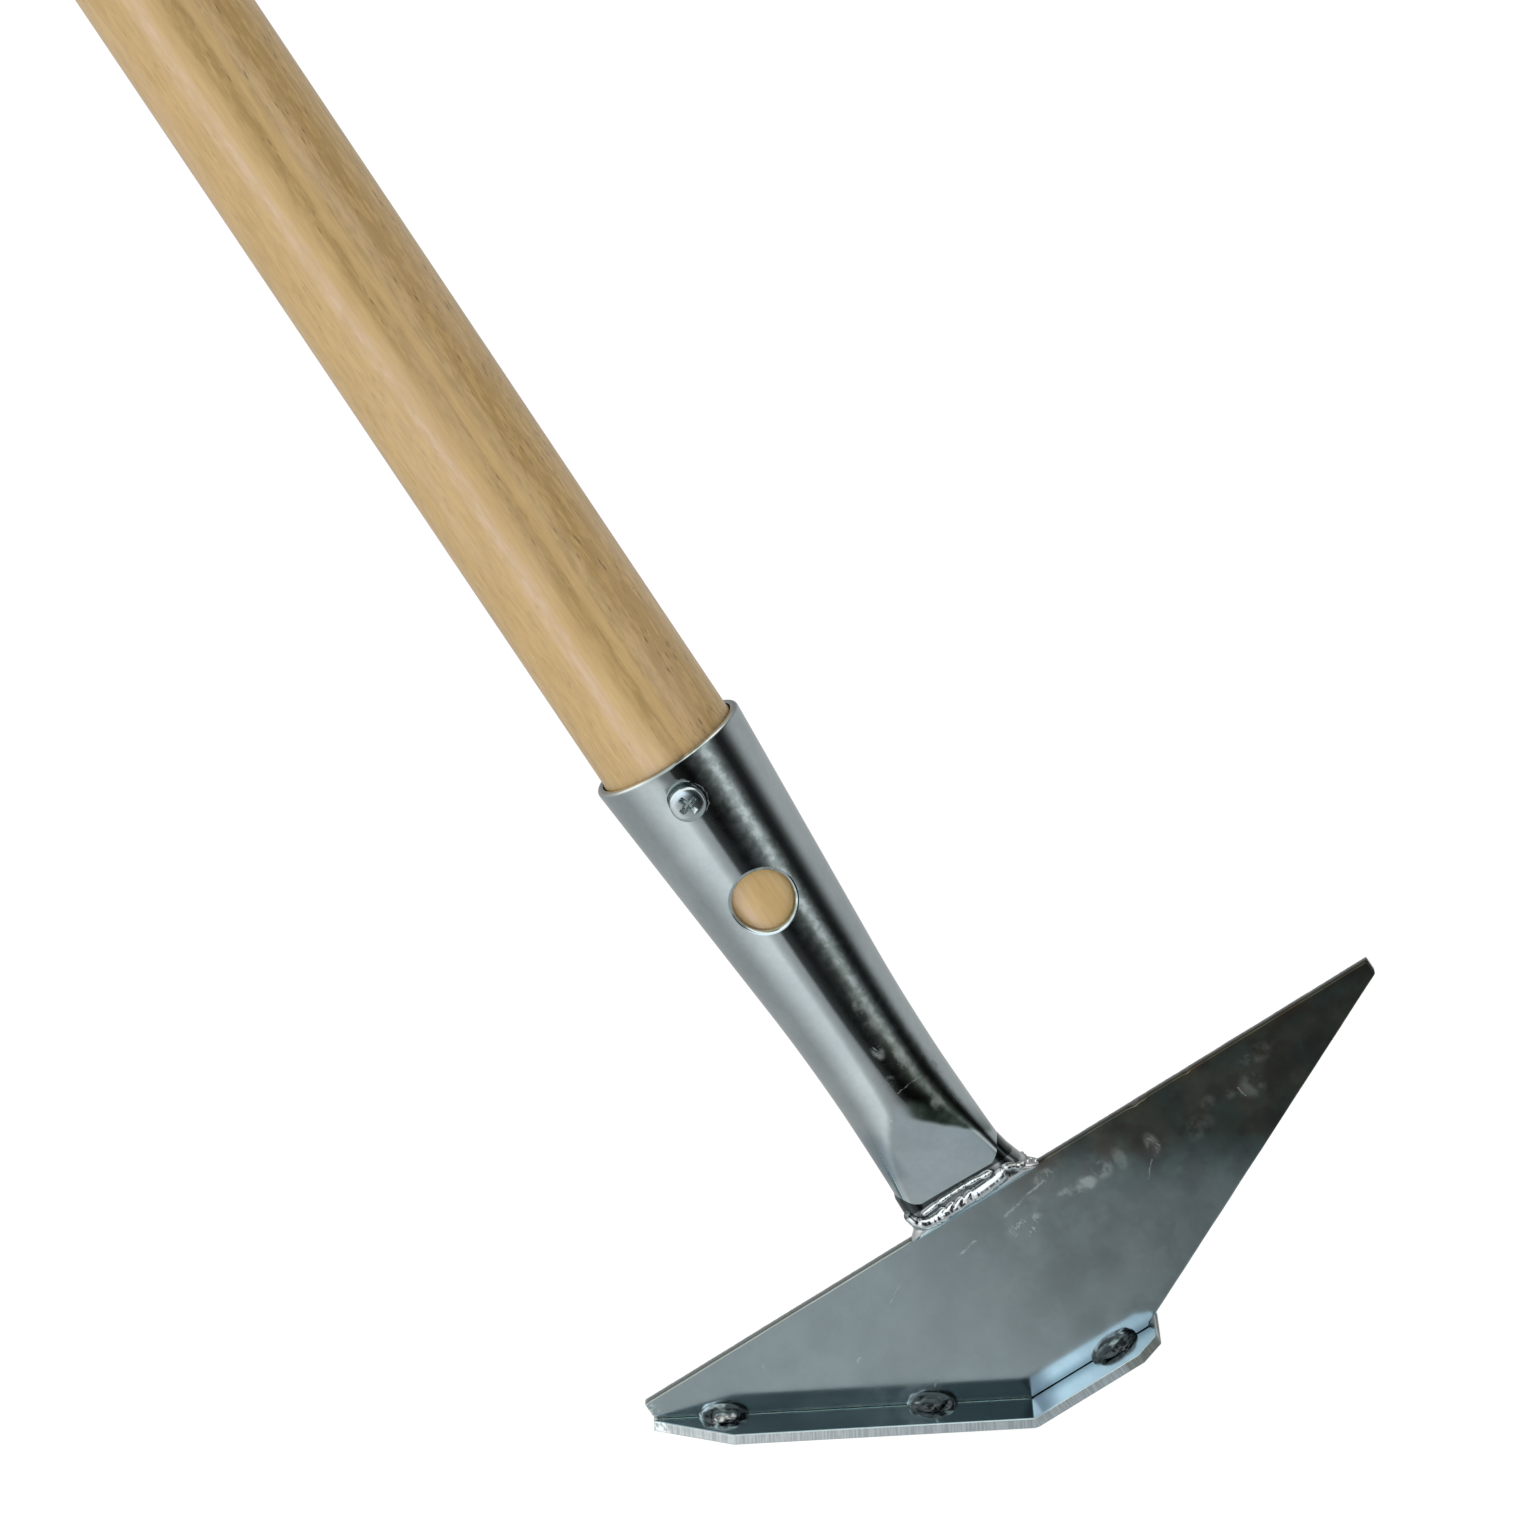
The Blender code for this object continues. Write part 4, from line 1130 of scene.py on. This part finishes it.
def weld_drops(name, path, values):
    """Mesh of overlapping drops along an open path of points, with values for the tree's inputs."""
    tree = bpy.data.node_groups.get("weld run") or weld_run_tree()
    mesh = bpy.data.meshes.new(name)
    mesh.from_pydata(path, [(i, i + 1) for i in range(len(path) - 1)], [])
    item = place(name, mesh)
    modifier = item.modifiers.new("drops", "NODES")
    modifier.node_group = tree
    for entry in tree.interface.items_tree:
        if entry.in_out == "INPUT" and entry.name in values:
            modifier[entry.identifier] = values[entry.name]
    return settle(item)


def melt_together(name, items, voxel, passes):
    """Melt several closed bodies into one skin and smooth it."""
    shape = bmesh.new()
    for item in items:
        shape.from_mesh(item.data)
        bpy.data.objects.remove(item, do_unlink=True)
    mesh = bpy.data.meshes.new(name)
    shape.to_mesh(mesh)
    shape.free()
    melted = place(name, mesh)
    skin = melted.modifiers.new("skin", "REMESH")
    skin.mode = "VOXEL"
    skin.voxel_size = voxel
    skin.use_smooth_shade = True
    calm = melted.modifiers.new("calm", "SMOOTH")
    calm.factor = 0.5
    calm.iterations = passes
    return settle(melted)


def mark_hollows(mesh, reach, full):
    """Mark how deep each point lies below the smoothed skin, with 1 at the depth that counts as full."""
    count = len(mesh.vertices)
    points = np.empty((count, 3))
    mesh.vertices.foreach_get("co", points.ravel())
    normals = np.empty((count, 3))
    mesh.vertices.foreach_get("normal", normals.ravel())
    ends = np.empty((len(mesh.edges), 2), dtype=np.int32)
    mesh.edges.foreach_get("vertices", ends.ravel())
    one, two = ends.T
    near = np.bincount(ends.ravel(), minlength=count)[:, None]
    calm = points.copy()
    for _ in range(reach):
        total = np.stack([
            np.bincount(one, calm[two, axis], count) + np.bincount(two, calm[one, axis], count)
            for axis in range(3)
        ], axis=1)
        calm = total / np.maximum(near, 1)
    depth = ((calm - points) * normals).sum(axis=1)
    mark_points(mesh, "hollow", np.clip(depth / full, 0.0, 1.0))


def weld_metal(name, roughness, dark, painted_light_and_shade):
    """Plated weld metal: glossy, with painted shade in its hollows."""
    tone = dimmed(chosen().zinc.weld, dark)
    return zinc_plating(name, tone, dimmed(tone, 0.85), roughness, 900.0, 0.4, painted_light_and_shade)


class SCRAPER_OT_socket_weld(Operator):
    """Rippled bead that joins the socket's flat end to the blade"""

    bl_idname = "scraper.socket_weld"
    bl_label = "Socket weld"

    def execute(self, context):
        s = chosen().weld
        # Painted shade: a dark line along the top of the bead under the pressed face, and darker upper parts
        # on its right and left.
        painted_light_and_shade = [
            (zone([(0.0, 46.75, 0.0, 1.0, 0.12)], (), 0.0004), (0.20, 0.22, 0.22)),
            (zone([(10.2, 48.0, 1.0, 0.0, 0.4), (0.0, 44.7, 0.0, 1.0, 0.4)]), (0.45, 0.47, 0.47)),
            (zone([(-8.4, 46, -1, 0, 0.5), (-10.9, 46, 1, 0, 0.2), (0, 44.9, 0, 1, 0.4)]),
             (0.40, 0.42, 0.43)),
        ]
        metal = weld_metal("plated weld bead", 0.12, 1.1, painted_light_and_shade)
        levels = [
            (0.0060, -0.0007, -0.0006, -0.0008, 1.0), (0.0050, -0.0003, 0.0001, -0.0003, 1.0),
            (0.0045, -0.0001, 0.0004, 0.0001, 0.9), (0.0035, 0.0003, 0.0004, 0.0005, 0.5),
            (0.0025, 0.0005, 0.0003, 0.0012, 0.2), (0.0016, 0.0006, 0.0004, 0.0017, 0.0),
            (0.0010, 0.0007, 0.0007, 0.0022, 0.0), (0.0003, 0.0004, 0.0014, 0.0030, 0.0),
            (-0.0003, -0.0002, 0.0021, 0.0037, 0.0), (-0.0008, -0.0011, 0.0015, 0.0031, 0.0),
            (-0.0013, -0.0020, 0.0007, 0.0019, 0.0),
        ]
        body = place("bead body", loft("bead body", [self.ring(*level) for level in levels]))
        drops = []
        for side, face in ((-1, "front"), (1, "back")):
            for name, points, spacing, drop, variation, lean in self.runs():
                path = [self.on_bead(x, z, side) for x, z in points]
                drops.append(weld_drops(f"{face} {name}", path, {
                    "Spacing": spacing, "Drop size": drop, "Variation": variation, "Lean": lean,
                    "Seed": len(name) + side, "Metal": metal,
                }))
        bead = melt_together("weld_bead", [body, *drops], s.voxel, 8)
        mark_hollows(bead.data, 60, 0.00022)
        finish_piece(bead, metal, "weld_metal", "socket_weld")
        return {"FINISHED"}

    def runs(self):
        """Strands on a face: name, (x, z) path in millimetres, spacing, drop, variation and lean."""
        hook = [(-11.3, 46.6), (-11.0, 45.5), (-10.4, 44.6), (-9.3, 43.8), (-8.0, 43.5), (-5.0, 43.4)]
        middle = [(-5.0, 43.35), (-1.5, 43.3), (2.0, 43.45)]
        ripples = [(-5.8, 44.0), (-1.5, 43.95), (2.6, 44.1)]
        bright = [(2.0, 43.5), (5.0, 43.7), (7.0, 43.9), (8.6, 44.2)]
        line = [(-8.2, 45.8), (-5.0, 46.2), (-1.5, 46.4), (1.2, 46.4), (4.0, 46.2), (6.8, 45.8)]
        blob = [(10.4, 44.9), (11.3, 44.5), (11.9, 43.9)]
        crust = [(12.8, 43.8), (13.8, 42.8), (14.8, 42.2)]
        return [
            ("hook", hook, 0.0004, (0.0009, 0.0009, 0.0012), 0.10, 0.0),
            ("middle", middle, 0.0004, (0.0008, 0.0007, 0.0009), 0.15, 0.0),
            ("ripples", ripples, 0.0019, (0.0015, 0.0007, 0.0007), 0.15, -0.45),
            ("bright", bright, 0.0004, (0.0009, 0.0010, 0.0013), 0.06, 0.0),
            ("line", line, 0.0006, (0.0006, 0.0004, 0.0004), 0.4, 0.0),
            ("blob", blob, 0.0008, (0.0009, 0.0007, 0.0006), 0.35, 0.4),
            ("crust", crust, 0.0009, (0.0006, 0.0006, 0.0004), 0.45, 0.0),
        ]

    def ring(self, height, swell, left, right, rise):
        """Ring round the bead, which rises with the rounded outline of the flat face by a share."""
        places = (-12.0, -11.0, -9.8, -7.1, -2.2, 2.2, 6.2, 8.6, 10.4, 11.4, 12.0)
        rises = (4.8, 4.2, 3.0, 1.2, 0.1, 0.0, 0.6, 1.6, 2.8, 4.2, 4.8)
        ring = []
        for i, point in enumerate(socket_ring(BLADE_TOP + height, swell, left, right)):
            height_here = point.z + rise * np.interp(point.x * 1000, places, rises) / 1000
            ring.append(socket_ring(height_here, swell, left, right)[i])
        return ring

    def on_bead(self, x, z, side):
        """Point on the bead's front or back at a place given in millimetres."""
        half = [point for point in socket_ring(z / 1000, 0.0006, 0.0003, 0.0017) if point.y * side > 0]
        half.sort(key=lambda point: point.x)
        depth = np.interp(x / 1000, [point.x for point in half], [point.y for point in half])
        return Vector((x / 1000, depth, z / 1000))


class SCRAPER_OT_tack_welds(Operator):
    """Domed tack welds in the corners between the blade and the sole"""

    bl_idname = "scraper.tack_welds"
    bl_label = "Tack welds"

    def execute(self, context):
        s = chosen().weld
        # Painted dark reflections in random patches over the tacks.
        metal = weld_metal("plated tack weld", 0.08, 0.85, [(self.painted_dark_reflections, (0.10, 0.11, 0.12))])
        places = {"left": s.left_tack, "middle": s.middle_tack, "right": sole_long_leg() + s.right_tack}
        for number, (word, along) in enumerate(places.items()):
            for side, face in ((-1, "front"), (1, "back")):
                tack = self.make_tack(f"tack_{face}_{word}", along, side, number * 2 + (side > 0), s)
                finish_piece(tack, metal, "weld_metal", f"tack_weld_{face}_{word}")
        return {"FINISHED"}

    def painted_dark_reflections(self, g):
        """Mask of painted dark reflections on a tack, in random patches."""
        return g.remap(g.clouds(260.0), 0.38, 0.50)

    def make_tack(self, name, along, side, seed, s):
        """A button of weld metal with a domed middle, a groove round it and a rolled rim."""
        slope = chosen().blade.left_slope if along < sole_long_leg() else 0.0
        up = Vector((math.sin(slope), 0.0, math.cos(slope)))
        run = Vector((math.cos(slope), 0.0, -math.sin(slope)))
        face = -FRONT_FACE + GAP
        centre = sole_point(along, side * (face - 0.1 * s.tack_depth), 0.1 * s.tack_height)
        crown = Vector((0.10 - (0.07 * seed) % 0.3, side * 0.80, 0.42)).normalized()
        shape = bmesh.new()
        bmesh.ops.create_icosphere(shape, subdivisions=6, radius=1.0)
        for vert in shape.verts:
            away = vert.co.angle(crown) + 0.10 * noise.noise(vert.co * 1.4 + Vector((seed * 5.0, 0.0, 0.0)))
            uneven = 0.6 + 0.9 * noise.noise(vert.co * 1.3 + Vector((0.0, seed * 2.3, 0.0)))
            groove = 0.10 * uneven * hump(away, 0.66, 0.17)
            rim = 0.035 * hump(away, 0.98, 0.18)
            lumps = noise.noise(vert.co * 2.4 + Vector((seed * 3.1, 0.0, 0.0)))
            beads = noise.noise(vert.co * 5.5 + Vector((0.0, 0.0, seed * 4.1)))
            local = vert.co * (0.92 + 0.05 * lumps + 0.014 * beads - groove + rim)
            x, y, z = local.x * s.tack_length / 2, local.y * s.tack_depth, local.z * s.tack_height
            vert.co = centre + run * x + Vector((0.0, y, 0.0)) + up * z
        depth = side * (face - 0.0002)
        planes = [
            (Vector((0.0, depth, 0.0)), Vector((0.0, -side, 0.0))),
            (sole_point(along, 0.0, 0.00005), -up),
        ]
        for point, normal in planes:
            everything = shape.verts[:] + shape.edges[:] + shape.faces[:]
            result = bmesh.ops.bisect_plane(
                shape, geom=everything, dist=1e-7, plane_co=point, plane_no=normal, clear_outer=True
            )
            cut = [part for part in result["geom_cut"] if isinstance(part, bmesh.types.BMEdge)]
            bmesh.ops.contextual_create(shape, geom=cut)
        mesh = bpy.data.meshes.new(name)
        shape.to_mesh(mesh)
        shape.free()
        smooth(point_outward(mesh), 50)
        mark_hollows(mesh, 30, 0.00018)
        return place(name, mesh)


class VIEW3D_PT_scraper(Panel):
    """Lists the steps that make the scraper"""

    bl_label = "Paving joint scraper"
    bl_space_type = "VIEW_3D"
    bl_region_type = "UI"
    bl_category = "Scraper"

    def draw(self, context):
        for step in STEPS:
            self.layout.operator(step.bl_idname)


STEPS = (
    SCRAPER_OT_stage, SCRAPER_OT_handle, SCRAPER_OT_socket, SCRAPER_OT_screw, SCRAPER_OT_blade,
    SCRAPER_OT_sole, SCRAPER_OT_socket_weld, SCRAPER_OT_tack_welds,
)
CLASSES = (
    StageSettings, HandleSettings, SocketSettings, ScrewSettings, BladeSettings, SoleSettings,
    WeldSettings, ZincSettings, ScraperSettings, *STEPS, VIEW3D_PT_scraper,
)


def register():
    for item in CLASSES:
        bpy.utils.register_class(item)
    bpy.types.Scene.scraper = PointerProperty(type=ScraperSettings)


def unregister():
    del bpy.types.Scene.scraper
    for item in reversed(CLASSES):
        bpy.utils.unregister_class(item)


def main():
    register()
    bpy.ops.scraper.stage()
    bpy.ops.scraper.handle()
    bpy.ops.scraper.socket()
    bpy.ops.scraper.screw()
    bpy.ops.scraper.blade()
    bpy.ops.scraper.sole()
    bpy.ops.scraper.socket_weld()
    bpy.ops.scraper.tack_welds()


if __name__ == "__main__":
    main()
